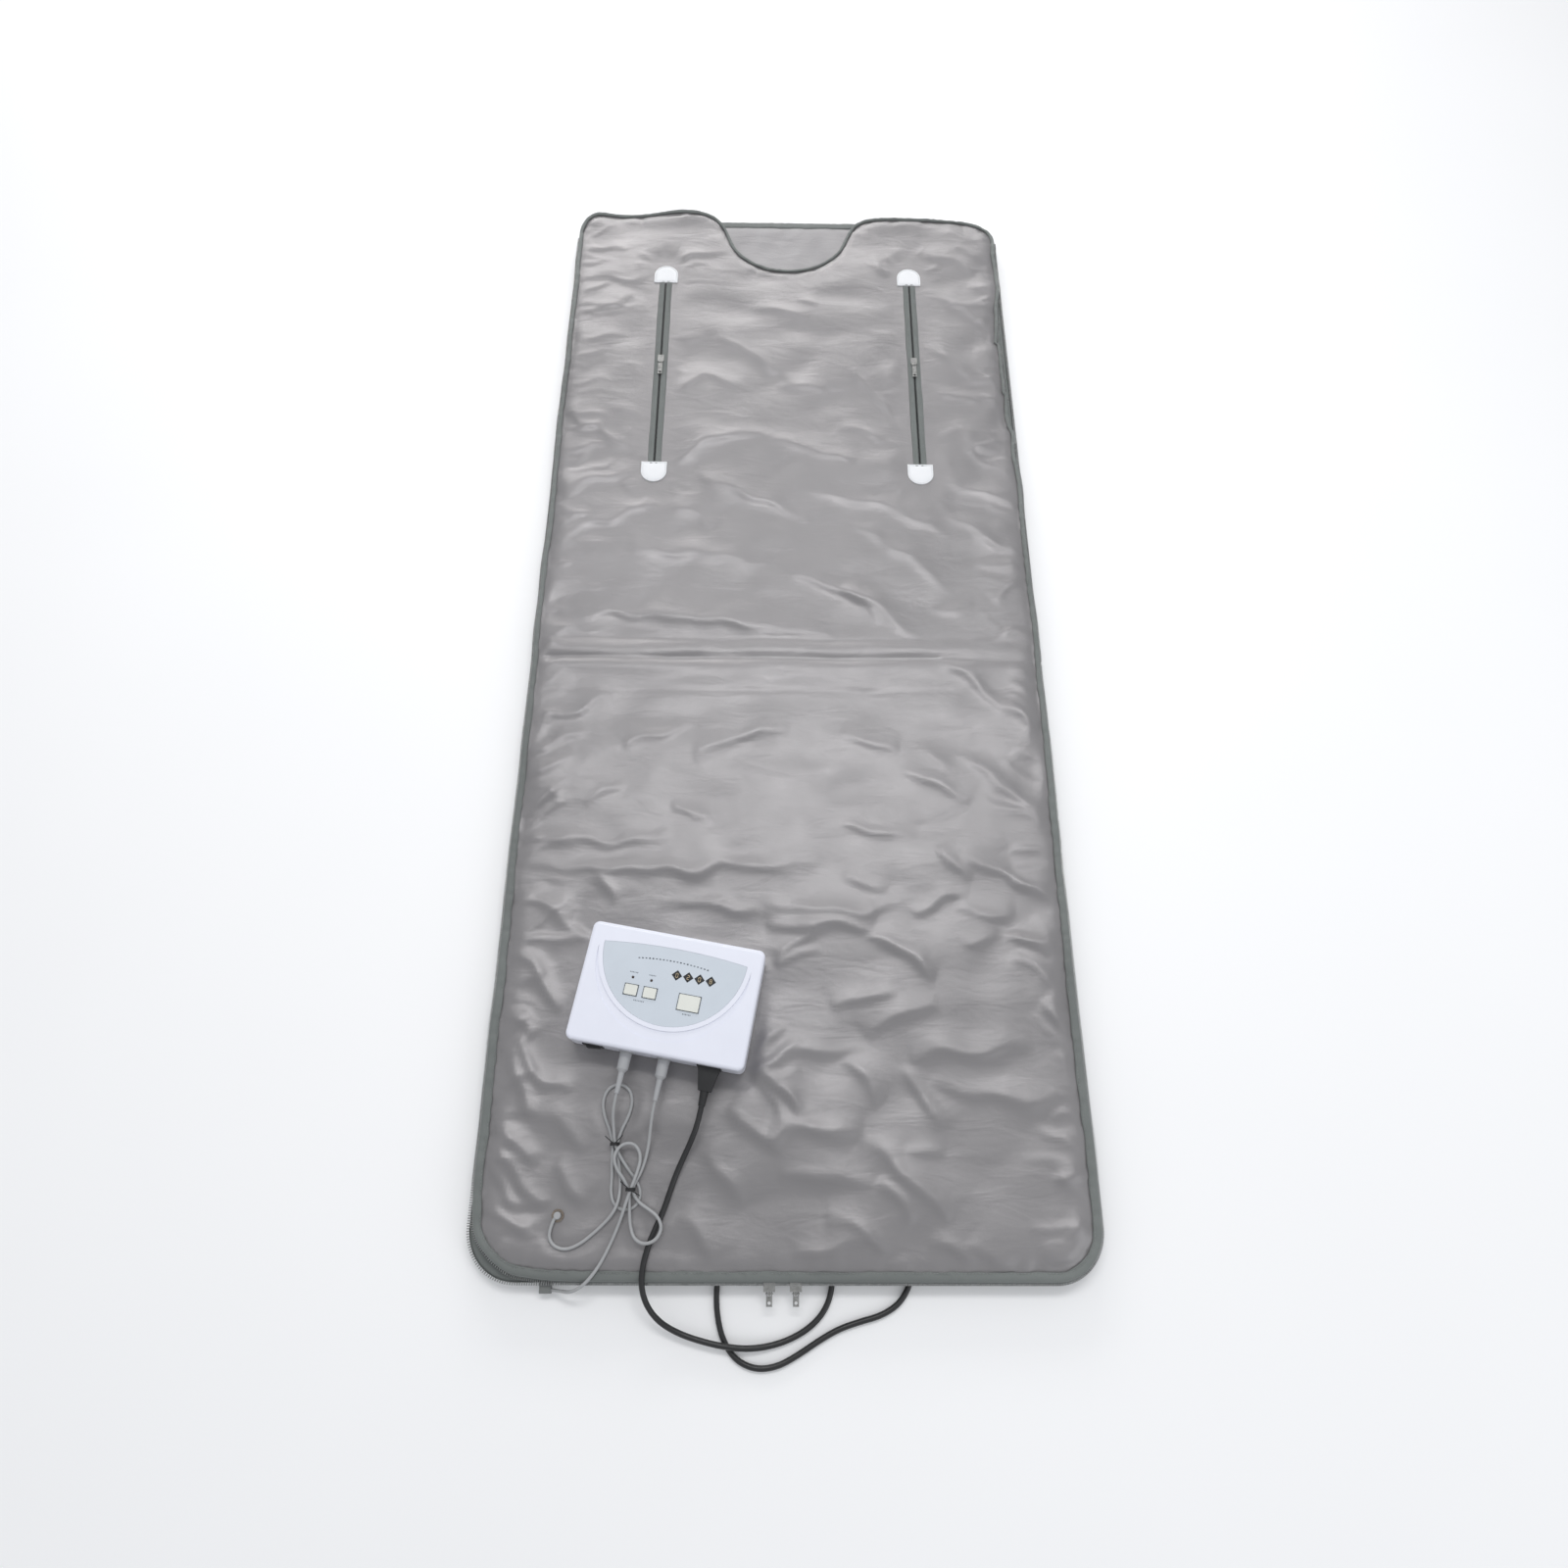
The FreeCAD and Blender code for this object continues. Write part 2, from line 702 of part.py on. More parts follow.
def pull(name, x, pin_y, pin_z, length):
    """A pull tab: a plate with two ears that turn on the slider's pin."""
    west = f"{x} - <pull_width> / 2"
    low = f"{pin_z} - <pull_thick> / 2"
    plan = ("<pull_width>", f"{length} - <pull_gap>")
    plate = box(name + "_plate", west, f"{pin_y} - {length}", low, *plan, "<pull_thick>")
    tip_y = f"{pin_y} - {length} + <pull_hole_in>"
    tip = cylinder(name + "_hole", "<pull_hole>", "4 * <pull_thick>", x, tip_y, f"{pin_z} - 2 * <pull_thick>")
    solids, eyes = [plate], [tip]
    neck_y = f"{pin_y} - <pull_gap> - <pull_lap>"
    neck = ("<pull_thick>", "<pull_gap> + <pull_lap> - <eye_radius>", "<pull_thick>")
    for side, at in (("left", west), ("right", f"{x} + <pull_width> / 2 - <pull_thick>")):
        ear = ("<ear_radius>", "<pull_thick>", at, pin_y, pin_z)
        eye = ("<eye_radius>", "2 * <pull_thick>", f"{at} - <pull_thick> / 2", pin_y, pin_z)
        solids.append(cylinder(f"{name}_ear_{side}", *ear, CROSSWISE))
        solids.append(box(f"{name}_neck_{side}", at, neck_y, low, *neck))
        eyes.append(cylinder(f"{name}_eye_{side}", *eye, CROSSWISE))
    return node(cut(name + "_cut", fuse(name + "_solid", *solids), *eyes), name)


def main_slider(name, x):
    """A slider of the main zip at the foot edge, round both rows of teeth."""
    rim = "-<blanket_length> / 2"
    west = f"{x} - <slider_wide> / 2"
    south = f"{rim} - <slider_out>"
    upper = "<slider_low> + <slider_tall> - <slider_plate>"
    plate = ("<slider_wide>", "<slider_deep>", "<slider_plate>")
    wedge = ("<wedge_wide>", "<wedge_deep>", "<wedge_thick>")
    parts = [
        box(name + "_web", west, south, "<slider_low>", "<slider_wide>", "<slider_web>", "<slider_tall>"),
        box(name + "_top", west, south, upper, *plate),
        box(name + "_bottom", west, south, "<slider_low>", *plate),
        box(name + "_wedge", f"{x} - <wedge_wide> / 2", south, "<wedge_low>", *wedge),
    ]
    pin_y = f"{south} - <lug_reach>"
    body = fuse(name + "_solid", *parts, *lug_and_pin(name, x, pin_y, "<main_pin_z>"))
    node(body, f"main_slider_{name}")
    pull(f"main_pull_{name}", x, pin_y, "<main_pin_z>", "<main_pull>")


def arm_slider(name, sign):
    """A slider of an arm opening's zip, through the gap between its rows of teeth."""
    x = f"{sign} * <arm_x>"
    south = "<arm_slider_y> - <arm_slider_long> / 2"
    neck_y = "<arm_slider_y> - <arm_neck_long> / 2"
    levels = {"top": ("<cover_top> + 1.5", "1.7"), "bottom": ("<cover_top> - 2.4", "1.5")}
    parts = []
    for plate, (low, thick) in levels.items():
        wide = f"<arm_slider_{plate}>"
        corner = (f"{x} - {wide} / 2", south, low)
        parts.append(box(f"arm_{name}_{plate}", *corner, wide, "<arm_slider_long>", thick))
    west = f"{x} - <arm_neck_wide> / 2"
    neck = box(f"arm_{name}_neck", west, neck_y, "<cover_top> - 1", "<arm_neck_wide>", "<arm_neck_long>", "3")
    pin_y, pin_z = f"{south} - <lug_reach>", "<cover_top> + <arm_pin_up>"
    body = fuse(f"arm_{name}_solid", *parts, neck, *lug_and_pin(f"arm_{name}", x, pin_y, pin_z))
    node(body, f"arm_slider_{name}")
    pull(f"arm_pull_{name}", x, pin_y, pin_z, "<arm_pull>")


# ---------------------------------------------------------------- controller, in its own frame
# Its own frame has its origin on the cloth under its centre, X along its width, Y to its front.
REAR = "<box_depth> / 2"
SMALL_BUTTONS = {"1": (-46.0, -3.5), "2": (-21.5, -3.5)}
SMALL_SIZE = (16.0, 13.0)
LARGE_BUTTON = (30.0, -7.0)
LARGE_SIZE = (27.0, 19.5)
LEDS = ((-47.0, 12.5), (-23.0, 12.5))
DIGITS = tuple(7.5 + 14.7 * place for place in range(4))
DIGIT_Y = 24.8
DIGIT_SIDE = 9.2
SOCKETS = {"1": -37.0, "2": 12.0}
INLET_X = 70.0
ROCKER_X = -80.0
ROCKER_TILT = 7.0
ROCKER_DEPTH = 2.5
INNER_CORNER = 6.6
PANEL_CLEARANCE = 1.0
TRAY_ROUND = 3.0
LID_ROUND = 4.5
HOLE_DEPTH = "<box_top> - 5"
HOLE_TOP = "<box_top> + 3"
# The board and what stands on it: centre, plan sizes, lowest and highest level
BOARD_TOP = "25.6"
BOARD = (0, 6, 190, 108, "24", BOARD_TOP)
TRANSFORMER = (-62, 34, 48, 36, BOARD_TOP, "41")
RELAY = (78, 10, 20, 16, BOARD_TOP, "38")
DISPLAY_TOP = "46.3"
LENS_TOP = "48.9"
DISPLAY_BLOCK = ((DIGITS[0] + DIGITS[-1]) / 2, DIGIT_Y, 60, 16, "34", DISPLAY_TOP)
# Round pieces on the board and under the case: radius and height
SWITCH = ("3", "17.4")
LAMP = ("1.5", "23.6")
FOOT = ("6", "<box_foot>")
FEET = ((-98, -62), (98, -62), (98, 62), (-98, 62))


def on_controller(obj, name):
    """Stands a piece that is drawn in the controller's own frame on the cover."""
    obj.Placement = FreeCAD.Placement(
        FreeCAD.Vector(), FreeCAD.Rotation(FreeCAD.Vector(0, 0, 1), size("box_turn"))
    )
    return node(put(obj, "<box_x>", "<box_y>", "<cover_top>"), name)


def centred(name, x, y, length, width, low, high):
    """A box about a point in plan, from low to high."""
    corner = (f"{x} - {length} / 2", f"{y} - {width} / 2", low)
    return box(name, *corner, f"{length}", f"{width}", f"{high} - ({low})")


def case_block(name, inset, low, high, corner):
    plan = (f"(<box_width> - 2 * {inset})", f"(<box_depth> - 2 * {inset})")
    block = centred(name + "_block", "0", "0", *plan, low, high)
    return fillet(name + "_corners", block, upright, corner)


def rear_rod(name, radius, x, start, length):
    """A cylinder along the depth of the case, from start mm in front of the rear wall's face."""
    return cylinder(name, radius, str(length), str(x), f"-{REAR} + {start}", "<socket_height>", axis=(0, 1, 0))


def rear_block(name, x, start, length, wide, high):
    """A box along the depth of the case, about the sockets' height."""
    corner = (f"{x} - {wide} / 2", f"-{REAR} + {start}", f"<socket_height> - {high} / 2")
    return box(name, *corner, str(wide), str(length), str(high))


def controller_tray():
    outer = case_block("tray_outer", "0", "<box_foot>", "<box_seam>", size("box_corner"))
    at_bottom = lambda e: all(abs(v.Point.z - size("box_foot")) < 1e-6 for v in e.Vertexes)
    outer = fillet("tray_round", outer, at_bottom, TRAY_ROUND)
    inner = case_block("tray_inner", "<box_wall>", "<box_foot> + <box_wall>", "<box_seam> + 1", INNER_CORNER)
    holes = [rear_rod(f"tray_socket_{k}", "8.0", x, -5, 10) for k, x in SOCKETS.items()]
    holes.append(rear_block("tray_inlet", INLET_X, -5, 10, 27.8, 20.8))
    holes.append(rear_block("tray_rocker", ROCKER_X, -5, 10, 22.0, 13.0))
    on_controller(cut("tray_cut", outer, inner, *holes), "controller_tray")


def moon_body(name, half_width, corner_y, far_y, near_y, low, height):
    """A half-moon plate: a shallow arc at the front and a deep one towards the rear."""
    left, right = FreeCAD.Vector(-half_width, corner_y, 0), FreeCAD.Vector(half_width, corner_y, 0)
    outline = [
        Part.Arc(left, FreeCAD.Vector(0, far_y, 0), right),
        Part.Arc(right, FreeCAD.Vector(0, near_y, 0), left),
    ]
    return sketch_body(name, outline, low, height)


def panel_holes(name, grow, low, high):
    """Prisms through the top at each button, lamp and digit, grown by a clearance."""
    holes = []
    for key, (x, y) in SMALL_BUTTONS.items():
        plan = (SMALL_SIZE[0] + grow, SMALL_SIZE[1] + grow)
        holes.append(centred(f"{name}_small_{key}", x, y, *plan, low, high))
    x, y = LARGE_BUTTON
    holes.append(centred(f"{name}_large", x, y, LARGE_SIZE[0] + grow, LARGE_SIZE[1] + grow, low, high))
    lamp_radius = f"{float(LAMP[0]) + grow / 4}"
    for count, (x, y) in enumerate(LEDS, start=1):
        holes.append(cylinder(f"{name}_led_{count}", lamp_radius, f"{high} - ({low})", str(x), str(y), low))
    for count, x in enumerate(DIGITS):
        holes.append(digit_prism(f"{name}_digit_{count}", x, DIGIT_SIDE + grow / 2, low, high))
    return fuse(name, *holes)


def digit_prism(name, x, side, low, high):
    """A square prism that stands on its corner in plan."""
    reach = side / math.sqrt(2)
    corners = [(x - reach, DIGIT_Y), (x, DIGIT_Y - reach), (x + reach, DIGIT_Y), (x, DIGIT_Y + reach)]
    return sketch_body(name, polygon(corners), low, f"{high} - ({low})")


# The faceplate's half-moon: half its width, and where its corners, its far arc and its near arc are.
FACE = (94.0, 52.0, 58.0, -41.0)
# The crescent groove below it: its two ends, and the lowest places of its outer and inner arcs.
CRESCENT_END = (100, 46)
CRESCENT_LOW = (-60, -46.5)


def controller_lid():
    outer = case_block("lid_outer", "0", "<box_seam>", "<box_top>", size("box_corner"))
    at_top = lambda e: all(abs(v.Point.z - size("box_top")) < 1e-6 for v in e.Vertexes)
    outer = fillet("lid_round", outer, at_top, LID_ROUND)
    inner = case_block("lid_inner", "<box_wall>", "<box_seam> - 1", "<box_top> - <box_wall>", INNER_CORNER)
    recess = moon_body("lid_recess", *FACE, "<box_top> - 1.2", "3")
    end_x, end_y = CRESCENT_END
    rim_end = FreeCAD.Vector(end_x, end_y, 0)
    rim_start = FreeCAD.Vector(-end_x, end_y, 0)
    crescent = sketch_body(
        "lid_crescent",
        [
            Part.Arc(rim_start, FreeCAD.Vector(0, CRESCENT_LOW[0], 0), rim_end),
            Part.Arc(rim_end, FreeCAD.Vector(0, CRESCENT_LOW[1], 0), rim_start),
        ],
        "<box_top> - 1.4",
        "3",
    )
    holes = panel_holes("lid_holes", PANEL_CLEARANCE, HOLE_DEPTH, HOLE_TOP)
    on_controller(cut("lid_cut", outer, inner, recess, crescent, holes), "controller_lid")


def controller_faceplate():
    half_width, corner_y, far_y, near_y = FACE
    fitted = (half_width - 0.3, corner_y - 0.1, far_y - 0.2, near_y + 0.2)
    plate = moon_body("face_moon", *fitted, "<box_top> - 1.2", "<face_thick>")
    holes = panel_holes("face_holes", PANEL_CLEARANCE, HOLE_DEPTH, HOLE_TOP)
    on_controller(cut("face_cut", plate, holes), "controller_faceplate")


BUTTON_ROUND = 1.5
BUTTON_FLANGE = 3.4


def button(name, place, plan):
    """A push-button: a cap through the panel on a flange that the lid holds in."""
    (x, y), (wide, deep) = place, plan
    cap = centred(name + "_cap", x, y, wide, deep, "<box_top> - 4", "<box_top> + 1.3")
    cap = fillet(name + "_round", cap, upright, BUTTON_ROUND)
    flange_plan = (wide + BUTTON_FLANGE, deep + BUTTON_FLANGE)
    flange = centred(name + "_flange", x, y, *flange_plan, "<box_top> - 4.2", "<box_top> - 2.7")
    on_controller(fuse(name + "_solid", cap, flange), name)


def controller_inside():
    parts = [
        centred("board_plate", *BOARD),
        centred("board_transformer", *TRANSFORMER),
        centred("board_relay", *RELAY),
    ]
    for key, (x, y) in list(SMALL_BUTTONS.items()) + [("3", LARGE_BUTTON)]:
        parts.append(cylinder(f"board_switch_{key}", *SWITCH, str(x), str(y), BOARD_TOP))
    on_controller(fuse("board_solid", *parts), "controller_board")
    parts = [centred("display_block", *DISPLAY_BLOCK)]
    for count, x in enumerate(DIGITS):
        parts.append(digit_prism(f"display_lens_{count}", x, DIGIT_SIDE, DISPLAY_TOP, LENS_TOP))
    on_controller(fuse("display_solid", *parts), "controller_display")
    lamps = [cylinder(f"led_{count}", *LAMP, str(x), str(y), BOARD_TOP) for count, (x, y) in enumerate(LEDS)]
    on_controller(fuse("led_pair", *lamps), "controller_leds")


def controller_feet():
    feet = []
    for count, (x, y) in enumerate(FEET):
        feet.append(cylinder(f"foot_{count}", *FOOT, str(x), str(y), "0"))
    on_controller(fuse("feet_set", *feet), "controller_feet")


def rear_cone(name, start_radius, end_radius, x, start, length):
    """A cone that runs out backwards from the case, from start mm behind the rear wall's face."""
    cone = doc.addObject("Part::Cone", name)
    turn = FreeCAD.Rotation(FreeCAD.Vector(0, 0, 1), FreeCAD.Vector(0, -1, 0))
    cone.Placement = FreeCAD.Placement(FreeCAD.Vector(), turn)
    bind(cone, Radius1=start_radius, Radius2=end_radius, Height=length)
    return put(cone, str(x), f"-{REAR} - {start}", "<socket_height>")


def heater_socket(key, x):
    """A round socket in the rear wall, and the plug of a heater lead in it."""
    flange = rear_rod(f"socket_{key}_flange", "9.5", x, -1.5, 1.5)
    barrel = rear_rod(f"socket_{key}_barrel", "7.9", x, -1.5, 14)
    cavity = rear_rod(f"socket_{key}_cavity", "6.7", x, -3, 12.5)
    shell = cut(f"socket_{key}_cut", fuse(f"socket_{key}_solid", flange, barrel), cavity)
    on_controller(shell, f"heater_socket_{key}")
    nose = rear_rod(f"plug_{key}_nose", "6.5", x, -4, 12)
    grip = rear_cone(f"plug_{key}_grip", "7.7", "7.2", x, 1.7, 20)
    shoulder = rear_cone(f"plug_{key}_shoulder", "7.2", "4.2", x, 21.7, 4)
    relief = rear_cone(f"plug_{key}_relief", "3.9", "3.0", x, 25.7, 25.8)
    on_controller(fuse(f"plug_{key}_solid", nose, grip, shoulder, relief), f"heater_plug_{key}")


def mains_inlet():
    """The inlet in the rear wall, and the mains cord's connector in it."""
    flange = rear_block("inlet_flange", INLET_X, -1.5, 1.5, 31, 24)
    body = rear_block("inlet_body", INLET_X, -1.5, 17, 27.6, 20.6)
    cavity = rear_block("inlet_cavity", INLET_X, -3, 16, 25.2, 17.2)
    on_controller(cut("inlet_cut", fuse("inlet_solid", flange, body), cavity), "mains_inlet")
    nose = rear_block("connector_nose", INLET_X, -4, 15, 24.8, 16.8)
    grip = doc.addObject("Part::Wedge", "connector_grip")
    bind(grip, Xmin=-8.2, Xmax=8.2, Zmin=-6.6, Zmax=6.6, Ymin=0, Ymax=27.5)
    bind(grip, X2min=-13.6, X2max=13.6, Z2min=-9.4, Z2max=9.4)
    put(grip, str(INLET_X), f"-{REAR} - 29.2", "<socket_height>")
    relief = rear_cone("connector_relief", "5.4", "4.4", INLET_X, 29.2, 18.3)
    on_controller(fuse("connector_solid", nose, grip, relief), "mains_connector")


def rocker_switch():
    flange = rear_block("rocker_flange", ROCKER_X, -1.5, 1.5, 26, 17)
    body = rear_block("rocker_body", ROCKER_X, -1.5, 15, 21.6, 12.6)
    cavity = rear_block("rocker_cavity", ROCKER_X, -3, 13, 19.0, 10.2)
    on_controller(cut("rocker_cut", fuse("rocker_frame", flange, body), cavity), "rocker_housing")
    key = box("rocker_key", "-8.4", "-6.5", "-4.6", "16.8", "11.5", "9.2")
    ridge = fillet("rocker_ridge", key, lambda e: upright(e) and e.Vertexes[0].Point.y < 0, 2.0)
    about_z = FreeCAD.Vector(0, 0, 1)
    pivot = FreeCAD.Vector(ROCKER_X, -size("box_depth") / 2 + ROCKER_DEPTH, size("socket_height"))
    case = FreeCAD.Placement(
        FreeCAD.Vector(size("box_x"), size("box_y"), size("cover_top")),
        FreeCAD.Rotation(about_z, size("box_turn")),
    )
    ridge.Placement = case * FreeCAD.Placement(pivot, FreeCAD.Rotation(about_z, ROCKER_TILT))
    node(ridge, "rocker")


# ---------------------------------------------------------------- plug and ties of the cords
PLUG_LEVEL = 8.0
# Each blade's place from the plug's middle, its width and its height
BLADES = ((-11.0, 6.5, 1.8), (4.5, 6.5, 1.8), (-0.9, 1.8, 7.0))


def mains_plug():
    """A flat three-blade plug, lying in the recess of the base."""
    grip = box("mains_plug_grip", f"{PLUG_X} - 18.5", "-842", "0.3", "37", "40", "15.4")
    grip = fillet("mains_plug_round", grip, upright, 6.0)
    relief = cylinder("mains_plug_relief", "5.0", "24", f"{PLUG_X}", "-802", f"{PLUG_LEVEL}", axis=(0, 1, 0))
    blades = []
    for count, (across, wide, tall) in enumerate(BLADES):
        corner = (f"{PLUG_X} + {across}", "-861", f"{PLUG_LEVEL - tall / 2}")
        blades.append(box(f"mains_plug_blade_{count}", *corner, str(wide), "20", str(tall)))
    node(fuse("mains_plug_solid", grip, relief, *blades), "mains_plug")


TIE_RADIUS = 6.0
TIE_WIDE = 4.0
TIE_WIRE = 0.6
TAIL_LONG = 15.0


def tie(name, x, y, z, tails):
    """A twist tie round a bundle of three strands, with its two twisted ends."""
    outer = (f"{TIE_RADIUS}", f"{TIE_WIDE}", x, f"{y} - {TIE_WIDE / 2}", z)
    inner = (f"{TIE_RADIUS - 0.5}", f"{TIE_WIDE + 2}", x, f"{y} - {TIE_WIDE / 2 + 1}", z)
    ring = cylinder(name + "_outer", *outer, axis=(0, 1, 0))
    hollow = cylinder(name + "_inner", *inner, axis=(0, 1, 0))
    ends = []
    for count, tail in enumerate(tails):
        start = (x, y, f"{z} + {TIE_RADIUS}")
        ends.append(cylinder(f"{name}_tail_{count}", f"{TIE_WIRE}", f"{TAIL_LONG}", *start, axis=tail))
    node(fuse(name + "_solid", cut(name + "_band", ring, hollow), *ends), name)


def cords():
    mains_plug()
    tie("tie_1", "-213", "-741", "35.8", ((-0.75, 0.6, 0.3), (0.7, 0.65, 0.3)))
    tie("tie_2", "-190.4", "-793", "38.2", ((-0.75, 0.6, 0.25), (0.85, -0.45, 0.25)))
    cord("lead_1", LEAD_1, size("lead_dia"))
    cord("lead_2", LEAD_2, size("lead_dia"))
    cord("mains_cord", MAINS, size("cord_dia"))


# ---------------------------------------------------------------- the whole object
base_mat()
cover_foot()
cover_head()
eyelet()
for side_name, side_sign in SIDES:
    arm_side(side_name, side_sign)
    arm_slider(side_name, side_sign)
main_slider("left", "-20.5")
main_slider("right", "11.5")
controller_tray()
controller_lid()
controller_faceplate()
for button_key, button_place in SMALL_BUTTONS.items():
    button(f"button_{button_key}", button_place, SMALL_SIZE)
button("button_3", LARGE_BUTTON, LARGE_SIZE)
controller_inside()
controller_feet()
for socket_key, socket_x in SOCKETS.items():
    heater_socket(socket_key, socket_x)
mains_inlet()
rocker_switch()
cords()
doc.recompute()

for item in doc.Objects:
    if "Invalid" in item.State or "Error" in item.State:
        raise RuntimeError(f"{item.Name} ({item.Label}) failed: {item.State}")
for item in NODES:
    if item.Shape.isNull() or not item.Shape.isValid() or not item.Shape.Solids:
        raise RuntimeError(f"{item.Label} has no valid solid")

os.makedirs("parts", exist_ok=True)
for item in NODES:
    item.Shape.exportStep(os.path.join("parts", item.Label + ".step"))
    print(f"{item.Label}: {len(item.Shape.Solids)} solid, {item.Shape.Volume / 1000:.1f} cm3")
print(len(NODES), "nodes")
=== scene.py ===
import math

import bpy
import numpy as np
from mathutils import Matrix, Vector, kdtree


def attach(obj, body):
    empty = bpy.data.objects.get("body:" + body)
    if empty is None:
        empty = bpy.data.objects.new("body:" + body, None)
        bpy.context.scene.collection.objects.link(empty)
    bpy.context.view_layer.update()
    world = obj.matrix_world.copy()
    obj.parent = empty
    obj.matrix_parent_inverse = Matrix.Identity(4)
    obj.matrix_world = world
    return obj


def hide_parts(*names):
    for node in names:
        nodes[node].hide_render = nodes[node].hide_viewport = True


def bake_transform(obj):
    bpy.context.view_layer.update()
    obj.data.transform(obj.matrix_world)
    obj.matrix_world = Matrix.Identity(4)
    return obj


# An infrared sauna blanket, seen from above its foot end: a shiny grey padded cover zipped to a base
# mat, two zipped arm openings with white patches, a white controller and its cords.

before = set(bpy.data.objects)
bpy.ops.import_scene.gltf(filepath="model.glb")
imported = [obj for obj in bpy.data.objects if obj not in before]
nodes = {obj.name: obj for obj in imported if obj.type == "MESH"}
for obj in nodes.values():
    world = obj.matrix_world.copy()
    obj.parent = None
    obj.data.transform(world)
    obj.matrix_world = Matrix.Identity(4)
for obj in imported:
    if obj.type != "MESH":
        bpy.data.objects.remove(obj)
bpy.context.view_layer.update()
scene = bpy.context.scene


def linked(name, data):
    """A new object in the scene."""
    made = bpy.data.objects.new(name, data)
    scene.collection.objects.link(made)
    return made


# ---------------------------------------------------------------- camera
CAMERA_AT = (-0.02145, -0.78536, 1.33205)
DOWN, RIGHTWARDS, TILT = (math.radians(turn) for turn in (67.83, 1.85, 2.13))
SENSOR, LENS = 36.0, 22.5


def make_camera():
    """A camera above the foot end that looks down towards the head."""
    level = math.cos(DOWN)
    ahead = Vector((math.sin(RIGHTWARDS) * level, math.cos(RIGHTWARDS) * level, -math.sin(DOWN)))
    right = Vector((math.cos(RIGHTWARDS), -math.sin(RIGHTWARDS), 0.0))
    up = right.cross(ahead)
    camera = linked("camera", bpy.data.cameras.new("camera"))
    camera.data.sensor_width, camera.data.lens = SENSOR, LENS
    camera.data.clip_start, camera.data.clip_end = 0.01, 50.0
    matrix = camera.matrix_world.to_3x3()
    matrix.col[0] = right * math.cos(TILT) + up * math.sin(TILT)
    matrix.col[1] = up * math.cos(TILT) - right * math.sin(TILT)
    matrix.col[2] = -ahead
    camera.matrix_world = matrix.to_4x4()
    camera.location = CAMERA_AT
    scene.camera = camera


make_camera()


# ---------------------------------------------------------------- cords
# The cords' routes, each from its plug to its end
LEAD_1 = [
    (-0.2123, -0.6824, 0.054), (-0.2144, -0.6942, 0.054), (-0.216, -0.707, 0.0486),
    (-0.215, -0.722, 0.0416), (-0.213, -0.74, 0.038), (-0.2065, -0.754, 0.0374),
    (-0.196, -0.769, 0.0336), (-0.184, -0.783, 0.0318), (-0.1775, -0.798, 0.0319),
    (-0.183, -0.812, 0.0318), (-0.197, -0.8175, 0.0319), (-0.21, -0.811, 0.0318),
    (-0.215, -0.797, 0.0319), (-0.2145, -0.779, 0.0318), (-0.216, -0.76, 0.0324),
    (-0.2153, -0.742, 0.034), (-0.2205, -0.725, 0.0324), (-0.229, -0.708, 0.0318),
    (-0.2325, -0.691, 0.0319), (-0.2275, -0.675, 0.0318), (-0.213, -0.668, 0.0319),
    (-0.199, -0.675, 0.0318), (-0.1945, -0.69, 0.0319), (-0.198, -0.707, 0.0318),
    (-0.206, -0.723, 0.0324), (-0.2107, -0.74, 0.034), (-0.2083, -0.757, 0.0321),
    (-0.2052, -0.774, 0.0318), (-0.2032, -0.791, 0.0332), (-0.2042, -0.807, 0.0364),
    (-0.211, -0.821, 0.0362), (-0.2215, -0.832, 0.033), (-0.234, -0.843, 0.0318),
    (-0.249, -0.8545, 0.0319), (-0.266, -0.8605, 0.0318), (-0.2815, -0.855, 0.0319),
    (-0.2875, -0.841, 0.0326), (-0.2806, -0.8253, 0.0336),
]
LEAD_2 = [
    (-0.1641, -0.6912, 0.054), (-0.1666, -0.705, 0.054), (-0.1685, -0.722, 0.0484),
    (-0.1705, -0.741, 0.041), (-0.174, -0.759, 0.037), (-0.18, -0.776, 0.0364),
    (-0.19, -0.793, 0.0365), (-0.1805, -0.807, 0.0367), (-0.167, -0.815, 0.0382),
    (-0.155, -0.823, 0.04), (-0.1495, -0.836, 0.0404), (-0.156, -0.849, 0.0406),
    (-0.17, -0.854, 0.0402), (-0.183, -0.848, 0.0368), (-0.1885, -0.834, 0.0354),
    (-0.19, -0.819, 0.037), (-0.1912, -0.806, 0.0369), (-0.1922, -0.793, 0.0365),
    (-0.2, -0.78, 0.0386), (-0.2095, -0.7685, 0.041), (-0.213, -0.754, 0.0424),
    (-0.2035, -0.7405, 0.0423), (-0.187, -0.74, 0.0414), (-0.1785, -0.756, 0.0408),
    (-0.1835, -0.7755, 0.0404), (-0.19, -0.793, 0.0405), (-0.195, -0.809, 0.0403),
    (-0.2, -0.825, 0.037), (-0.206, -0.841, 0.0332), (-0.213, -0.857, 0.0318),
    (-0.221, -0.873, 0.0319), (-0.231, -0.888, 0.032), (-0.243, -0.9, 0.0314),
    (-0.256, -0.906, 0.026), (-0.2695, -0.9056, 0.0152), (-0.282, -0.9046, 0.0106),
]
